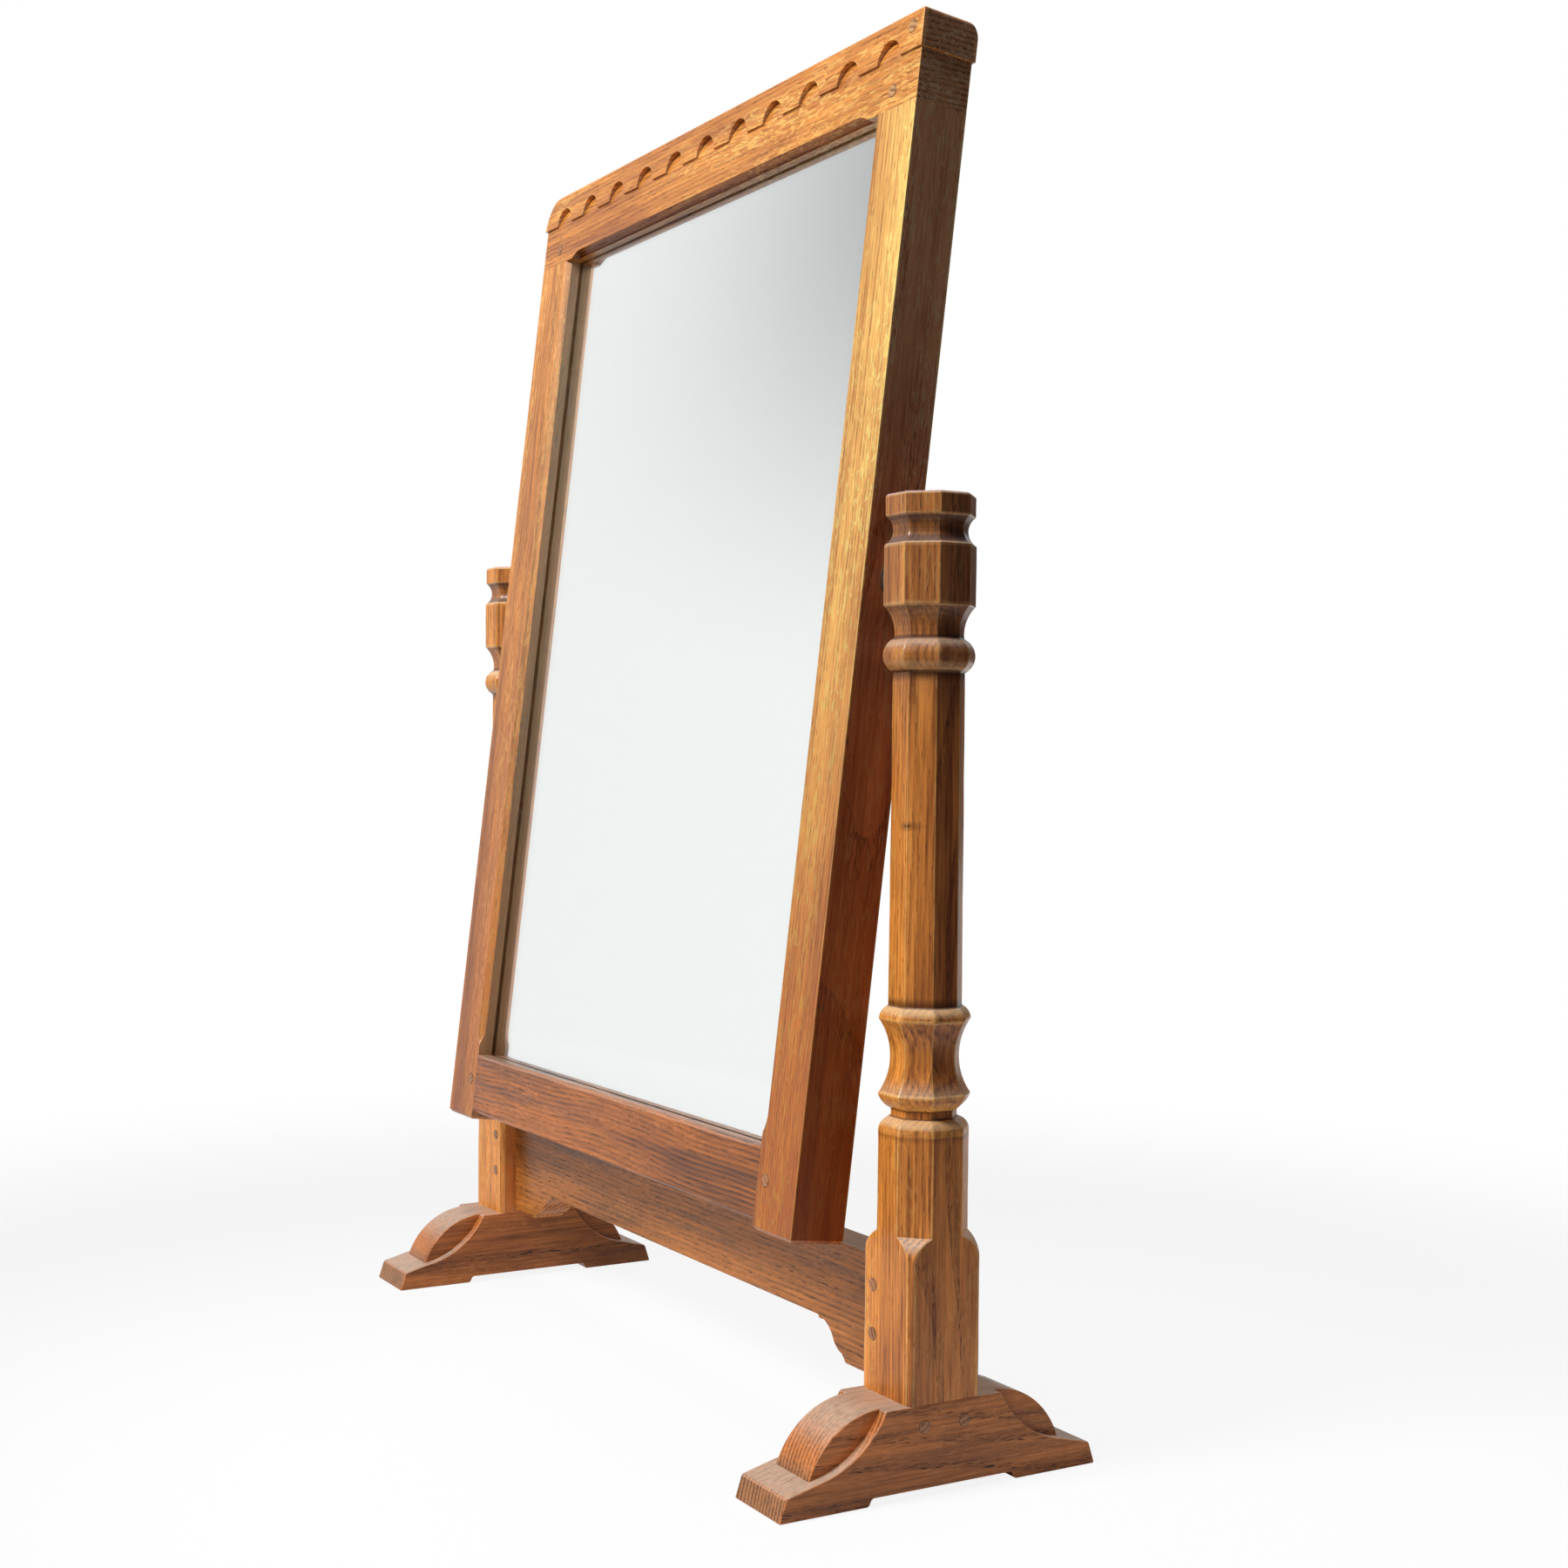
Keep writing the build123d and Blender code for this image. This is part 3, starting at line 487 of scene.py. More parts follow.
def silver_look(sizes):
    """Reflecting coat with a faint bloom near its edges."""
    sheet = Sheet("silver_coat")
    x, y, z = sheet.place(sizes.tilt, sizes.pivot)
    cloud = sheet.noise(sheet.vector(x * 9.0, y * 9.0, z * 9.0), detail=3.0)
    side = abs(x).step(sizes.half - sizes.stile - 0.03, sizes.half - sizes.stile + 0.008)
    low = (-z).step(sizes.sight_below - 0.03, sizes.sight_below + 0.008)
    bloom = side.math("MAXIMUM", low) * cloud * 0.25
    sheet.set(Base_Color=sheet.mix(bloom, (0.93, 0.94, 0.94), (0.62, 0.62, 0.60)), Metallic=1.0,
              Roughness=bloom * 0.15 + 0.005)
    return sheet.material


# Mesh pieces

def bow(start, end, sagitta, count):
    """Points from start to end along an arc that bows to the right by the sagitta; straight when it is 0."""
    start, end = np.array(start, float), np.array(end, float)
    share = np.linspace(0.0, 1.0, count)[:, None]
    line = start + (end - start) * share
    if abs(sagitta) < 1e-9:
        return line
    run = end - start
    chord = np.hypot(*run)
    right = np.array([run[1], -run[0]]) / chord
    radius = (chord * chord / 4 + sagitta * sagitta) / (2 * abs(sagitta))
    turn = 2 * np.arcsin(min(1.0, chord / (2 * radius)))
    angle = (share - 0.5) * turn
    lift = (radius * np.cos(angle) - radius * cos(turn / 2)) * np.sign(sagitta)
    slide = radius * np.sin(angle)
    return (start + end) / 2 + slide * run / chord + lift * right


def keep_facing(mesh):
    """Keep on each face how far it looks up, how far left or right, and how far ahead or back."""
    normals = np.empty(len(mesh.polygons) * 3, np.float32)
    mesh.polygons.foreach_get("normal", normals)
    left_right, fore_aft, up = normals[0::3], normals[1::3], normals[2::3]
    for key, part in (("up", up), ("flank", np.abs(left_right)), ("ahead", np.abs(fore_aft))):
        layer = mesh.attributes.new(key, "FLOAT", "FACE")
        layer.data.foreach_set("value", np.ascontiguousarray(part))


def add_mesh(name, points, faces, wear=None, hollow=None):
    """Mesh object from whole arrays, with its wear and hollow kept per point."""
    mesh = bpy.data.meshes.new(name)
    mesh.from_pydata(points.tolist(), [], faces)
    for key, numbers in (("wear", wear), ("hollow", hollow)):
        if numbers is not None:
            layer = mesh.attributes.new(key, "FLOAT", "POINT")
            layer.data.foreach_set("value", np.asarray(numbers, np.float32).ravel())
    mesh.polygons.foreach_set("use_smooth", np.ones(len(mesh.polygons), bool))
    mesh.update()
    keep_facing(mesh)
    mesh.set_sharp_from_angle(angle=ARRIS_ANGLE)
    piece = bpy.data.objects.new(name, mesh)
    bpy.context.scene.collection.objects.link(piece)
    weigh_normals(piece)
    return piece


def weigh_normals(piece):
    """Keep broad faces flat in their shading, so that only the narrow rounded arrises turn the light."""
    weigh = piece.modifiers.new("Face weighted normals", "WEIGHTED_NORMAL")
    weigh.mode = "FACE_AREA"
    weigh.weight = 100
    weigh.keep_sharp = True


def tube_faces(rows, columns, flip=False):
    """Quads between closed rows of points, and one polygon on each end."""
    row, column = np.meshgrid(np.arange(rows - 1), np.arange(columns), indexing="ij")
    after = (column + 1) % columns
    quads = np.stack([row * columns + column, row * columns + after, (row + 1) * columns + after,
                      (row + 1) * columns + column], axis=-1).reshape(-1, 4)
    ends = [list(range(columns))[::-1], list(range((rows - 1) * columns, rows * columns))]
    faces = quads.tolist() + ends
    return [face[::-1] for face in faces] if flip else faces


def finish_piece(piece, material, body, nodes):
    """Give a piece its material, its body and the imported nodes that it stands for."""
    piece.data.materials.append(material)
    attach(piece, body)
    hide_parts(*nodes)


def post_steps(s):
    """Half-width and height of each moulding on the straight flats, with the bow of the side above it."""
    z = s.base
    widths = [
        (s.block_height + s.stop_height + s.base_drum, s.block_size, s.shoulder_round),
        (s.shoulder, s.neck_size, 0.0),
        (s.neck, s.neck_size, s.bevel_round),
        (s.flare, s.vase_size, -s.vase_hollow),
        (s.vase, s.vase_size, s.bevel_round),
        (s.vase_top, s.shaft_low, 0.0),
        (s.shaft, s.shaft_high, s.ring_round),
        (s.ring, s.taper_size, -s.taper_hollow),
        (s.taper, s.drum_size, 0.0),
        (s.drum, s.drum_size, -s.cove_hollow),
        (s.cove, s.cap_size, 0.0),
        (s.cap - s.cap_edge, s.cap_size, 0.0),
        (s.cap_edge, s.cap_size - 2 * s.cap_edge, 0.0),
    ]
    steps = [((s.block_size / 2, z), 0.0)]
    for rise, width, bowed in widths:
        z += rise
        steps.append(((width / 2, z), bowed))
    return steps


def stop_steps(s):
    """The same for the diagonal flats, which are cut back from the square block by a stop."""
    corner = (s.block_size - s.block_chamfer) / np.sqrt(2)
    start = s.base + s.block_height
    head = [((corner, s.base), 0.0), ((corner, start), s.stop_round),
            ((s.block_size / 2, start + s.stop_height), 0.0)]
    return head + post_steps(s)[1:]


def trace(steps, count=22):
    """Outline points through the steps."""
    runs = [bow(first, second, bowed, count) for (first, bowed), (second, _) in zip(steps, steps[1:])]
    return np.concatenate(runs)


def make_post(name, s, side, material):
    """Octagonal post.

    At height z the section is the p-norm of its eight flats: 1 / radius is the p-th root of the sum, over
    the flats, of (cos(angle to the flat) / half-width at z) to the power p. A high p leaves arrises that
    are only just rubbed round, and p falls where the post is more worn.
    """
    straight, diagonal = trace(post_steps(s)), trace(stop_steps(s))
    stop = s.base + s.block_height
    breaks = np.array([point[1] for point, _ in post_steps(s)] + [stop, stop + s.stop_height])
    hair, gap, pitch = 0.00022, 0.00015, 0.004
    near = np.concatenate([breaks - hair, breaks + hair])
    curved = np.concatenate([straight[:, 1], diagonal[:, 1]])
    fill = np.arange(s.base, breaks.max(), pitch)
    heights = np.unique(np.round(np.concatenate([near, curved, fill]), 5))
    clear = np.min(np.abs(heights[:, None] - breaks[None, :]), axis=1) > gap
    inside = (heights > s.base) & (heights < breaks.max())
    heights = np.concatenate([[s.base], heights[clear & inside], [breaks.max()]])
    flat = np.interp(heights, straight[:, 1], straight[:, 0])
    slant = np.interp(heights, diagonal[:, 1], diagonal[:, 0])
    arris = np.arctan((np.sqrt(2) * slant - flat) / flat)
    share = np.array([-1.0, -0.975, -0.93, -0.80, -0.4, 0.0, 0.4, 0.80, 0.93, 0.975])
    angles = []
    for quarter in range(4):
        angles.append(quarter * pi / 2 + arris[:, None] * share)
        angles.append(quarter * pi / 2 + pi / 4 + (pi / 4 - arris)[:, None] * share)
    angle = np.concatenate(angles, axis=1)
    slow, quick = WORN_WAVES
    unevenly = np.sin(heights * slow + side) * np.sin(heights * quick + 1.3 * side)
    power = (s.sharpness * (1.0 + 0.45 * unevenly))[:, None]
    total = np.zeros_like(angle)
    for index in range(8):
        half = flat if index % 2 == 0 else slant
        facing = np.clip(np.cos(angle - index * pi / 4), 0.0, None)
        total += (facing / half[:, None]) ** power
    radius = total ** (-1.0 / power)
    facet = np.round(angle / (pi / 4))
    short, long = TOOL_WAVES
    short_wave = np.sin(heights[:, None] * short + facet * 2.1 + side)
    long_wave = np.cos(heights[:, None] * long + facet * 1.3)
    radius = radius - s.waver * (0.5 + 0.5 * short_wave * long_wave)
    x = side * s.spacing / 2 + radius * np.cos(angle)
    points = np.stack([x, radius * np.sin(angle), np.broadcast_to(heights[:, None], x.shape)], axis=-1)
    edge = np.abs(np.concatenate([share] * 8))[None, :]
    bend = np.gradient(np.gradient(flat, heights), heights)
    full_ridge, full_valley = 220.0, 160.0
    ridge = np.clip(-bend / full_ridge, 0.0, 1.0)[:, None]
    valley = np.clip(bend / full_valley, 0.0, 1.0)[:, None]
    on_arris = np.clip((edge - 0.92) / 0.06, 0.0, 1.0)
    wear = np.clip(on_arris + ridge, 0.0, 1.0) * np.ones_like(angle)
    hollow = valley * np.ones_like(angle)
    piece = add_mesh(name, points.reshape(-1, 3), tube_faces(*angle.shape), wear, hollow)
    finish_piece(piece, material, "stand", ["left_post" if side < 0 else "right_post"])


def closed_outline(steps, ease):
    """Closed outline through the steps, whose corners are eased by stopping each side short of them."""
    runs = []
    for (first, bowed), (second, _) in zip(steps, steps[1:] + steps[:1]):
        count = 2 if abs(bowed) < 1e-9 else 18
        run = bow(first, second, bowed, count)
        start, end = run[1] - run[0], run[-2] - run[-1]
        size = np.hypot(*(run[-1] - run[0]))
        pull = min(ease, size * 0.3)
        run[0] = run[0] + start / np.hypot(*start) * min(pull, np.hypot(*start) * 0.45)
        run[-1] = run[-1] + end / np.hypot(*end) * min(pull, np.hypot(*end) * 0.45)
        runs.append(run)
    return np.concatenate(runs)


def rounded_slab(outline, half_depth, radius, turns=4):
    """Closed slab of an outline, with its arrises rounded.

    A ring at angle a from the side lies inside the outline by radius times (1 - cos a), and short of the
    half depth by radius times (1 - sin a). The radius may change from point to point on the near side.
    """
    before, after = np.roll(outline, 1, axis=0), np.roll(outline, -1, axis=0)
    first, second = outline - before, after - outline
    first /= np.hypot(first[:, 0], first[:, 1])[:, None]
    second /= np.hypot(second[:, 0], second[:, 1])[:, None]
    outward = np.stack([first[:, 1] + second[:, 1], -first[:, 0] - second[:, 0]], axis=-1)
    length_squared = np.maximum((outward ** 2).sum(axis=1) / 2, 0.6)[:, None]
    outward /= length_squared
    rise = np.linspace(pi / 2, 0.0, turns)[:, None]
    near = np.broadcast_to(radius, len(outline))[None, :]
    away = np.full_like(near, near.min())
    inset = np.concatenate([(1 - np.cos(rise)) * near, ((1 - np.cos(rise)) * away)[::-1]])
    depths = np.concatenate([(1 - np.sin(rise)) * near - half_depth,
                             (half_depth - (1 - np.sin(rise)) * away)[::-1]])
    ring = outline[None, :, :] - outward[None, :, :] * inset[:, :, None]
    rise = rise[:, 0]
    wear = np.concatenate([np.sin(2 * rise), np.sin(2 * rise)[::-1]])
    wear[0] = wear[-1] = 0.35
    return ring, depths, np.broadcast_to(wear[:, None], ring.shape[:2])


def both_sides(half):
    """Closed steps from their right half, listed from the bottom up."""
    left = []
    for index in range(len(half) - 1, -1, -1):
        (x, z), _ = half[index]
        left.append(((-x, z), half[index - 1][1] if index else 0.0))
    return half[:-1] + [(half[-1][0], 0.0)] + left


def make_foot(name, s, spacing, side, material):
    """Sledge foot: a wide slab with sunk cheeks, and a narrower slab with convex scrolls standing in it."""
    cheek_end = s.flat / 2 + s.cheek_run
    web_end = s.flat / 2 + s.web_run
    cheek = both_sides([
        ((s.recess_length / 2, 0.0), 0.0),
        ((cheek_end + s.toe_run, 0.0), 0.0),
        ((cheek_end + s.toe_run - s.toe_rake, s.toe_height), 0.0),
        ((cheek_end, s.toe_height + s.toe_rise), -s.cheek_hollow),
        ((s.flat / 2, s.height), 0.0),
    ])
    recess, hair = s.recess_depth, 0.00004
    cheek = cheek + [((-s.recess_length / 2 + recess / 2, recess), 0.0),
                     ((s.recess_length / 2 - recess / 2, recess), 0.0)]
    web = both_sides([
        ((web_end, recess + s.edge), 0.0),
        ((web_end, s.web_foot), s.web_round),
        ((s.flat / 2, s.height - hair), 0.0),
    ])
    points, faces, wears = [], [], []
    start = 0
    for steps, width in ((cheek, s.width), (web, s.web_width)):
        ring, depth, wear = rounded_slab(closed_outline(steps, s.edge), width / 2, s.edge)
        block = np.stack([side * spacing / 2 + depth, ring[..., 0], ring[..., 1]], axis=-1)
        rows, columns = depth.shape
        faces += [[index + start for index in face] for face in tube_faces(rows, columns)]
        points.append(block.reshape(-1, 3))
        wears.append(wear.ravel())
        start += rows * columns
    piece = add_mesh(name, np.concatenate(points), faces, np.concatenate(wears))
    finish_piece(piece, material, "stand", ["left_foot" if side < 0 else "right_foot"])


def make_stretcher(name, s, inner, material):
    """Stretcher: one slab whose lower edge runs down through an ogee into a bracket at each end."""
    start, flat = inner - s.bracket_length, inner - s.bracket_flat
    bottom = s.top - s.height
    high, low = bottom - s.quirk, bottom - s.bracket_drop + 2 * s.quirk
    middle = ((start + flat) / 2, (high + low) / 2)
    sag = (flat - start) / OGEE_FLATNESS
    steps = [
        ((-inner, bottom - s.bracket_drop), 0.0),
        ((-flat, bottom - s.bracket_drop), 0.0),
        ((-flat + s.quirk, low), sag),
        ((-middle[0], middle[1]), -sag),
        ((-start, high), 0.0),
        ((-start, bottom), 0.0),
        ((start, bottom), 0.0),
        ((start, high), -sag),
        (middle, sag),
        ((flat - s.quirk, low), 0.0),
        ((flat, bottom - s.bracket_drop), 0.0),
        ((inner, bottom - s.bracket_drop), 0.0),
        ((inner, s.top), 0.0),
        ((-inner, s.top), 0.0),
    ]
    outline = closed_outline(steps, s.ease)
    reach = np.abs(outline[:, 0])
    on_ogee = (reach > start + s.ease) & (reach < flat - s.quirk - s.ease)
    on_ogee &= outline[:, 1] < high - s.ease / 2
    radius = np.where(on_ogee, s.ogee_edge, s.edge)
    ring, depth, wear = rounded_slab(outline, s.thickness / 2, radius)
    points = np.stack([ring[..., 0], depth, ring[..., 1]], axis=-1)
    piece = add_mesh(name, points.reshape(-1, 3), tube_faces(*depth.shape, flip=True), wear)
    finish_piece(piece, material, "stand", ["stretcher"])


def make_pegs(name, spots, radius, crown, length_in, direction, body, nodes, material, seed, turn=None):
    """Pegs whose split, uneven sides and slightly domed heads show at the face.

    The head falls from the crown's height in its middle to the face at its rim, and its outline wavers three
    times round.
    """
    around = np.linspace(0.0, 2 * pi, PEG_SIDES, endpoint=False)
    shares = np.array([0.0, 0.35, 0.65, 0.86, 0.96, 1.0, 1.0])
    lifts = np.array([1.0, 0.95, 0.82, 0.6, 0.35, 0.0, -1.0])
    points, faces = [], []
    for index, spot in enumerate(spots):
        wave = 1.0 - PEG_WAVER * (1 + np.sin(3 * around + seed + index * 1.7)) / 2
        ring = shares[:, None] * wave[None, :] * radius
        ring = np.maximum(ring, radius * 0.01)
        high = np.where(lifts[:, None] >= 0, lifts[:, None] * crown, -length_in)
        high = np.broadcast_to(high, ring.shape)
        local = np.stack([ring * np.cos(around), ring * np.sin(around), high], axis=-1)
        normal = np.array(direction, float)
        first = np.cross(normal, [0.0, 0.0, 1.0])
        first /= np.linalg.norm(first)
        second = np.cross(normal, first)
        placed = np.array(spot) + local[..., 0:1] * first + local[..., 1:2] * second
        placed = placed + local[..., 2:3] * normal
        if turn is not None:
            placed = upright(turn, placed)
        base = index * ring.size
        faces += [[i + base for i in face] for face in tube_faces(*ring.shape)]
        points.append(placed.reshape(-1, 3))
    rim = np.tile(np.repeat((shares > 0.9).astype(float), len(around)), len(spots))
    piece = add_mesh(name, np.concatenate(points), faces, hollow=rim)
    outward = piece.data.polygons[-2].normal
    if outward.dot(Vector(direction)) < 0:
        piece.data.flip_normals()
    finish_piece(piece, material, body, nodes)


def softened(name, node, edge, material, body):
    """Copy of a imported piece, its double points merged, its coplanar faces joined and its arrises rounded."""
    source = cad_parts[node]
    mesh = source.data.copy()
    mesh.name = name
    work = bmesh.new()
    work.from_mesh(mesh)
    bmesh.ops.remove_doubles(work, verts=work.verts, dist=SAME_POINT)
    bmesh.ops.dissolve_limit(work, angle_limit=SAME_PLANE, verts=work.verts, edges=work.edges)
    work.to_mesh(mesh)
    work.free()
    mesh.materials.clear()
    piece = bpy.data.objects.new(name, mesh)
    bpy.context.scene.collection.objects.link(piece)
    bevel = piece.modifiers.new("Rubbed arrises", "BEVEL")
    bevel.width = edge
    bevel.segments = 2
    bevel.limit_method = "ANGLE"
    bevel.angle_limit = BEVEL_ANGLE
    mesh.polygons.foreach_set("use_smooth", np.ones(len(mesh.polygons), bool))
    mesh.update()
    keep_facing(mesh)
    mesh.set_sharp_from_angle(angle=ARRIS_ANGLE)
    weigh_normals(piece)
    finish_piece(piece, material, body, [node])


def upright(s, points):
    """Carry points from the mirror's own plane to their place at rest."""
    x, y, z = points[..., 0], points[..., 1], points[..., 2]
    deep = y * cos(s.tilt) + z * sin(s.tilt)
    high = s.pivot - y * sin(s.tilt) + z * cos(s.tilt)
    return np.stack([x, deep, high], axis=-1)


def make_sheet(name, s, front, back, edge, material, node):
    """Flat sheet in the glass rebate, with its edges ground round."""
    half = s.half - s.stile + s.rebate - s.glass_clearance
    high = s.sight_above + s.rebate - s.glass_clearance
    low = -s.sight_below - s.rebate + s.glass_clearance
    steps = [((-half, low), 0.0), ((half, low), 0.0), ((half, high), 0.0), ((-half, high), 0.0)]
    ring, depth, wear = rounded_slab(closed_outline(steps, edge), (back - front) / 2, edge)
    points = upright(s, np.stack([ring[..., 0], depth + (front + back) / 2, ring[..., 1]], axis=-1))
    wear = wear.copy()
    wear[0] = wear[-1] = 0.0
    piece = add_mesh(name, points.reshape(-1, 3), tube_faces(*depth.shape, flip=True), wear)
    finish_piece(piece, material, "mirror", [node])


def dress(nodes, material):
    """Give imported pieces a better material."""
    for node in nodes:
        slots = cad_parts[node].data.materials
        slots.clear()
        slots.append(material)


# Operators

class SWING_OT_posts(Operator):
    """Build both octagonal posts"""
    bl_idname = "swing.posts"
    bl_label = "Posts"

    def execute(self, context):
        sizes = context.scene.swing_post
        knot = (sizes.spacing / 2 + sizes.knot_reach, 0.0, sizes.knot_height)
        handled = ((0.72, 0.74, 0.95), sizes.handled_from, sizes.handled_to)
        for side, name, seed, knot, fade in ((-1, "left_post_oak", 3.1, None, None),
                                             (1, "right_post_oak", 7.7, knot, handled)):
            # sides here is painted shade on the faces that look left or right; the paling of upward faces is
            # partly dust and rubbing and partly a painted sheen of the light from above.
            look = oak(name + "_look", "Z", seed, (1.0, 0.365, 0.060), (0.27, 0.074, 0.014),
                       worn=attribute_wear, fleck=0.25, shape=True, top_sheen_and_dust=0.75, slope=(0.25, 0.70),
                       sides=(0.72, 0.68, 1.0), fade=fade, knot=knot)
            make_post(name, sizes, side, look)
        return {"FINISHED"}


class SWING_OT_feet(Operator):
    """Build both sledge feet"""
    bl_idname = "swing.feet"
    bl_label = "Feet"

    def execute(self, context):
        sizes = context.scene.swing_foot
        spacing = context.scene.swing_post.spacing
        for side, name, seed in ((-1, "left_foot_oak", 5.3), (1, "right_foot_oak", 1.9)):
            # The paling of upward faces is partly dust and rubbing and partly a painted sheen of the light from
            # above.
            look = oak(name + "_look", "Y", seed, (0.62, 0.205, 0.050), (0.17, 0.050, 0.013),
                       worn=attribute_wear, fleck=0.2, pores=0.85, top_sheen_and_dust=0.75, ends=(0.60, 0.76, 1.05))
            make_foot(name, sizes, spacing, side, look)
        return {"FINISHED"}


class SWING_OT_stretcher(Operator):
    """Build the bracketed stretcher"""
    bl_idname = "swing.stretcher"
    bl_label = "Stretcher"

    def execute(self, context):
        post = context.scene.swing_post
        # The paling of upward faces is partly dust and rubbing and partly a painted sheen of the light from
        # above.
        look = oak("stretcher_look", "X", 4.4, (0.66, 0.22, 0.034), (0.17, 0.054, 0.009), worn=attribute_wear,
                   fleck=0.25, pores=0.85, top_sheen_and_dust=0.8)
        make_stretcher("stretcher_oak", context.scene.swing_stretcher, post.spacing / 2 - post.block_size / 2,
                       look)
        return {"FINISHED"}


class SWING_OT_frame(Operator):
    """Round the arrises of the mirror's rails and stiles and give them their oak"""
    bl_idname = "swing.frame"
    bl_label = "Mirror frame"

    def execute(self, context):
        s = context.scene.swing_frame
        wear = frame_wear(s)
        # Painted shade for the outer faces that look left or right: the rails' end-grain ends and the stiles'
        # sides.
        rail_end_shade, stile_side_shade = (0.60, 0.70, 1.8), (0.62, 0.50, 0.95)
        # On the stiles the fade is painted shade low down, so that their upper parts look lit by a sheen; the
        # right stile's paler colours are partly wear and partly that painted sheen.
        looks = (
            ("top_rail", "X", 2.2, (0.84, 0.325, 0.060), (0.34, 0.094, 0.013), 0.9, rail_end_shade,
             PLAIN_FIGURE, None),
            ("bottom_rail", "X", 8.6, (0.47, 0.135, 0.018), (0.10, 0.026, 0.005), 0.3, rail_end_shade,
             WAVY_FIGURE, None),
            ("left_stile", "Z", 6.5, (0.86, 0.32, 0.060), (0.26, 0.080, 0.014), 0.5, stile_side_shade,
             PLAIN_FIGURE, ((0.72, 0.58, 0.48), 0.22, -0.36)),
            ("right_stile", "Z", 9.4, (1.0, 0.56, 0.15), (0.46, 0.17, 0.034), 0.5, stile_side_shade,
             PLAIN_FIGURE, ((0.52, 0.26, 0.09), 0.22, -0.36)),
        )
        for node, grain, seed, light, dark, fleck, sides, figure, fade in looks:
            # The paling of upward faces is partly dust and rubbing and partly a painted sheen of the light from
            # above.
            look = oak(node + "_look", grain, seed, light, dark, frame_sizes=s, worn=wear, fleck=fleck,
                       pores=0.6, gloss=0.38, top_sheen_and_dust=0.35, sides=sides, fade=fade,
                       figure=figure)
            softened(node + "_oak", node, s.edge, look, "mirror")
        strip = oak("fillet_look", "Z", 2.9, (0.42, 0.27, 0.14), (0.20, 0.12, 0.06), frame_sizes=s, gloss=0.6)
        level = oak("level_fillet_look", "X", 3.9, (0.42, 0.27, 0.14), (0.20, 0.12, 0.06), frame_sizes=s,
                    gloss=0.6)
        dress(["left_fillet", "right_fillet"], strip)
        dress(["top_fillet", "bottom_fillet"], level)
        board = oak("backboard_look", "Z", 5.9, (0.33, 0.20, 0.105), (0.14, 0.078, 0.04), frame_sizes=s,
                    fleck=0.6, gloss=0.6)
        dress(["backboard"], board)
        return {"FINISHED"}


class SWING_OT_pegs(Operator):
    """Build the heads and bodies of all the joints' pegs"""
    bl_idname = "swing.pegs"
    bl_label = "Pegs"

    def execute(self, context):
        s, post = context.scene.swing_peg, context.scene.swing_post
        look = oak("peg_look", "Y", 1.2, (0.46, 0.20, 0.078), (0.16, 0.060, 0.022), fleck=0.0, pores=0.3,
                   shape=True)
        foot_look = oak("foot_peg_look", "X", 2.7, (0.44, 0.19, 0.085), (0.15, 0.058, 0.026), fleck=0.0,
                        pores=0.3, shape=True)
        crown, radius = s.crown, s.radius
        for side, word in ((-1, "left"), (1, "right")):
            outer = side * (post.spacing / 2 + post.block_size / 2)
            spots = [(outer, y, s.foot_rise) for y in (-s.foot_reach, s.foot_reach)]
            make_pegs(word + "_foot_peg_heads", spots, radius, crown, s.foot_length, (side, 0, 0), "stand",
                      [word + "_foot_pegs"], foot_look, side)
            inset = side * (post.spacing / 2 - post.block_size / 2 + s.post_inset)
            spots = [(inset, -post.block_size / 2, z) for z in (s.post_low, s.post_high)]
            make_pegs(word + "_post_peg_heads", spots, radius, crown, s.post_length, (0, -1, 0), "stand",
                      [word + "_post_pegs"], look, side + 4)
        f = context.scene.swing_frame
        sight = f.half - f.stile
        top = (sight + s.top_reach, -f.front, f.sight_above + s.top_rise)
        low = (sight + s.low_reach, -f.front, -f.sight_below - s.low_drop)
        corner = (f.half - s.corner_inset, -f.front - s.band_step, f.top - s.corner_drop)
        pale = oak("worn_peg_look", "Y", 3.2, (0.62, 0.33, 0.13), (0.26, 0.11, 0.035), fleck=0.0, pores=0.3,
                   shape=True)
        sets = (("left_top_peg_heads", [(-top[0], top[1], top[2])], "left_top_pegs", look),
                ("right_top_peg_heads", [top, corner], "right_top_pegs", pale),
                ("left_bottom_peg_head", [(-low[0], low[1], low[2])], "left_bottom_peg", look),
                ("right_bottom_peg_head", [low], "right_bottom_peg", look))
        for name, spots, node, material in sets:
            make_pegs(name, spots, radius, crown, s.frame_length, (0, -1, 0), "mirror", [node], material,
                      len(name), f)
        return {"FINISHED"}


class SWING_OT_fittings(Operator):
    """Give the glass, its silvering and the metal and leather fittings their materials"""
    bl_idname = "swing.fittings"
    bl_label = "Glass and fittings"

    def execute(self, context):
        s = context.scene.swing_frame
        back = s.glass + s.glass_thickness
        make_sheet("mirror_plate", s, s.glass, back - s.air, s.plate_edge, glass_look(),
                   "mirror_glass")
        make_sheet("silver_coat", s, back, back + s.silver, s.silver_edge, silver_look(s),
                   "silver_backing")
        steel = plain("worn_steel", (0.42, 0.41, 0.39), 0.42, metallic=1.0)
        dress([side + part for side in ("left", "right")
               for part in ("_pivot_socket", "_pivot_stud", "_socket_screws", "_stud_screws")], steel)
        dress(["backboard_screws"], plain("dull_brass", (0.55, 0.40, 0.17), 0.38, metallic=1.0))
        dress(["left_friction_washer", "right_friction_washer"],
              plain("washer_leather", (0.13, 0.075, 0.04), 0.75, scale=900.0, depth=0.0004))
        return {"FINISHED"}


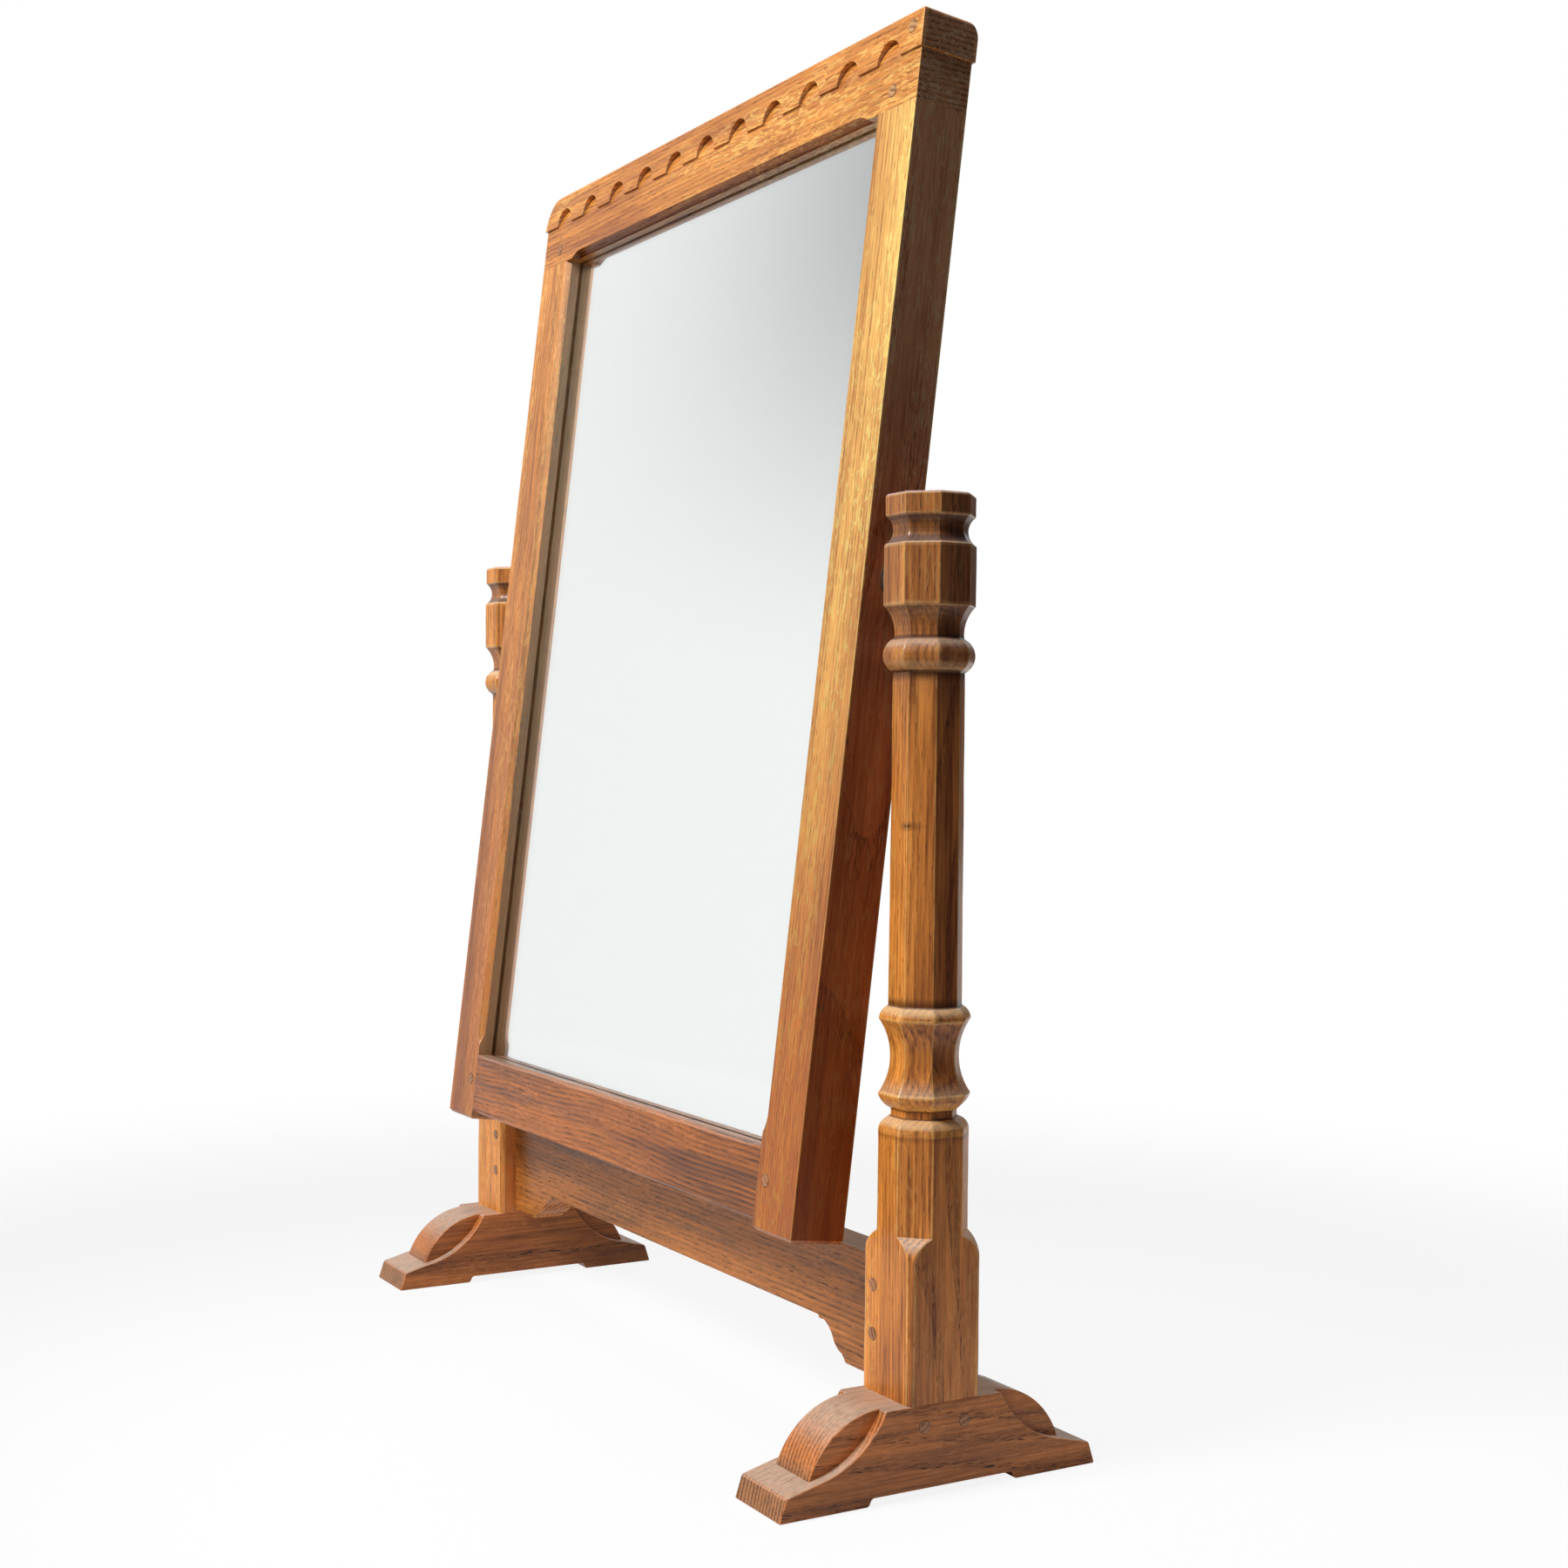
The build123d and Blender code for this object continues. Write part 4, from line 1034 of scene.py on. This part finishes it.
class SWING_OT_stage(Operator):
    """Set the floor, the lights and the camera"""
    bl_idname = "swing.stage"
    bl_label = "Stage"

    def execute(self, context):
        look = context.scene.swing_stage
        self.lay_floor(look)
        self.set_world(context.scene, look)
        for name, place, size, power in LIGHTS:
            self.add_light(name, place, size, getattr(look, power))
        self.set_camera(context.scene, look)
        context.scene.view_settings.view_transform = "Standard"
        return {"FINISHED"}

    def lay_floor(self, look):
        """Floor that the camera and the mirror see as white, with a part of the object's shadow kept."""
        size = look.floor_half
        points = np.array([(-size, -size, 0), (size, -size, 0), (size, size, 0), (-size, size, 0)], float)
        floor = add_mesh("studio_floor", points, [[0, 1, 2, 3]])
        sheet = Sheet("studio_floor_look")
        x, y, _ = sheet.place()
        far = (x * x + y * y).math("SQRT").step(0.55, 1.30)
        paths = sheet.node("ShaderNodeLightPath").socket.node.outputs
        glossy, through = Value(sheet, paths["Is Glossy Ray"]), Value(sheet, paths["Is Transmission Ray"])
        shine = glossy.math("MAXIMUM", through)
        seen = Value(sheet, paths["Is Camera Ray"]).math("MAXIMUM", shine * (-x).step(-0.25, 0.35))
        # Painted shade: away from the stand the floor's own colour falls from light grey to dark grey, so that
        # the far floor throws little light back, while the camera still sees it white.
        patch = ((x - 0.25) * (x - 0.25) + y * y).math("SQRT").step(0.30, 0.95)
        sheet.set(Base_Color=sheet.mix(patch, (0.92, 0.92, 0.92), (0.10, 0.10, 0.10)), Roughness=0.9)
        white = sheet.node("ShaderNodeEmission", inputs={"Color": (1.0, 1.0, 1.0), "Strength": 1.0})
        output = next(n for n in sheet.tree.nodes if n.type == "OUTPUT_MATERIAL")
        principled = Value(sheet, sheet.shader.outputs[0])
        cover = (far * 0.12 + 0.88) * seen
        mixed = sheet.node("ShaderNodeMixShader", inputs={0: cover, 1: principled, 2: white})
        sheet.tree.links.new(mixed.socket, output.inputs["Surface"])
        floor.data.materials.append(sheet.material)

    def set_world(self, scene, look):
        """White for the camera, a soft grey sweep for what the mirror shows, and an even light besides."""
        world = bpy.data.worlds.new("studio_world")
        world.use_nodes = True
        scene.world = world
        tree = world.node_tree
        tree.nodes.clear()
        sheet = Sheet(tree=tree)
        paths = sheet.node("ShaderNodeLightPath").socket.node.outputs
        camera_ray = Value(sheet, paths["Is Camera Ray"])
        glossy, through = Value(sheet, paths["Is Glossy Ray"]), Value(sheet, paths["Is Transmission Ray"])
        seen = glossy.math("MAXIMUM", through)
        toward = sheet.node("ShaderNodeTexCoord", out=0)
        split = sheet.node("ShaderNodeSeparateXYZ", inputs={0: toward})
        across, deep, height = (Value(sheet, split.socket.node.outputs[i]) for i in range(3))
        dim = height.step(0.14, 0.44) * (-deep).step(0.34, 0.50)
        sweep = sheet.mix(dim, (0.98, 0.98, 0.98), (0.36, 0.36, 0.37))
        toward_front = (-across - deep).step(0.15, 0.95)
        sweep = sheet.mix(toward_front, (0.07, 0.07, 0.07), sweep)
        ambient = sheet.mix(seen, (look.ambient,) * 3, sweep)
        shown = sheet.mix(camera_ray, ambient, (1.0, 1.0, 1.0))
        background = sheet.node("ShaderNodeBackground", inputs={"Color": shown, "Strength": 1.0})
        output = tree.nodes.new("ShaderNodeOutputWorld")
        tree.links.new(background.socket, output.inputs["Surface"])

    def add_light(self, name, place, size, power):
        """Square lamp that faces the object."""
        light = bpy.data.lights.new(name, "AREA")
        light.energy = power
        light.size = size
        lamp = bpy.data.objects.new(name, light)
        lamp.location = place
        aim = Vector(LIGHT_AIM) - Vector(place)
        lamp.rotation_euler = aim.to_track_quat("-Z", "Y").to_euler()
        bpy.context.scene.collection.objects.link(lamp)

    def set_camera(self, scene, look):
        """Camera at the photograph's viewing angle."""
        yaw, pitch, roll = look.camera_yaw, look.camera_pitch, look.camera_roll
        ahead = Vector((-sin(yaw) * cos(pitch), cos(yaw) * cos(pitch), sin(pitch)))
        level = Vector((cos(yaw), sin(yaw), 0.0))
        up = level.cross(ahead)
        right = level * cos(roll) + up * sin(roll)
        above = up * cos(roll) - level * sin(roll)
        camera = bpy.data.cameras.new("photo_camera")
        camera.sensor_width = 36.0
        camera.lens = look.lens
        camera.shift_x, camera.shift_y = look.shift
        camera.clip_start = 0.02
        holder = bpy.data.objects.new("photo_camera", camera)
        turned = Matrix((right, above, -ahead)).transposed().to_4x4()
        turned.translation = Vector(look.camera_place)
        holder.matrix_world = turned
        scene.collection.objects.link(holder)
        scene.camera = holder


class SWING_PT_panel(Panel):
    """The mirror's sizes and the buttons that build its pieces"""
    bl_label = "Swing mirror"
    bl_idname = "SWING_PT_panel"
    bl_space_type = "VIEW_3D"
    bl_region_type = "UI"
    bl_category = "Swing mirror"

    def draw(self, context):
        for operator in OPERATORS:
            self.layout.operator(operator.bl_idname)
        for key in GROUPS:
            group = getattr(context.scene, key)
            box = self.layout.box()
            box.label(text=key.replace("_", " "))
            for name in group.bl_rna.properties.keys():
                if name not in ("rna_type", "name"):
                    box.prop(group, name)


OPERATORS = (SWING_OT_posts, SWING_OT_feet, SWING_OT_stretcher, SWING_OT_frame, SWING_OT_pegs,
             SWING_OT_fittings, SWING_OT_stage)
GROUPS = {"swing_post": PostSizes, "swing_foot": FootSizes, "swing_stretcher": StretcherSizes,
          "swing_frame": FrameSizes, "swing_peg": PegSizes, "swing_stage": StageLook}


def register():
    for group in GROUPS.values():
        bpy.utils.register_class(group)
    for key, group in GROUPS.items():
        setattr(bpy.types.Scene, key, PointerProperty(type=group))
    for operator in OPERATORS:
        bpy.utils.register_class(operator)
    bpy.utils.register_class(SWING_PT_panel)


def unregister():
    bpy.utils.unregister_class(SWING_PT_panel)
    for operator in reversed(OPERATORS):
        bpy.utils.unregister_class(operator)
    for key in GROUPS:
        delattr(bpy.types.Scene, key)
    for group in reversed(list(GROUPS.values())):
        bpy.utils.unregister_class(group)


def main():
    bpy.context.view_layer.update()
    register()
    bpy.ops.swing.posts()
    bpy.ops.swing.feet()
    bpy.ops.swing.stretcher()
    bpy.ops.swing.frame()
    bpy.ops.swing.pegs()
    bpy.ops.swing.fittings()
    bpy.ops.swing.stage()


if __name__ == "__main__":
    main()
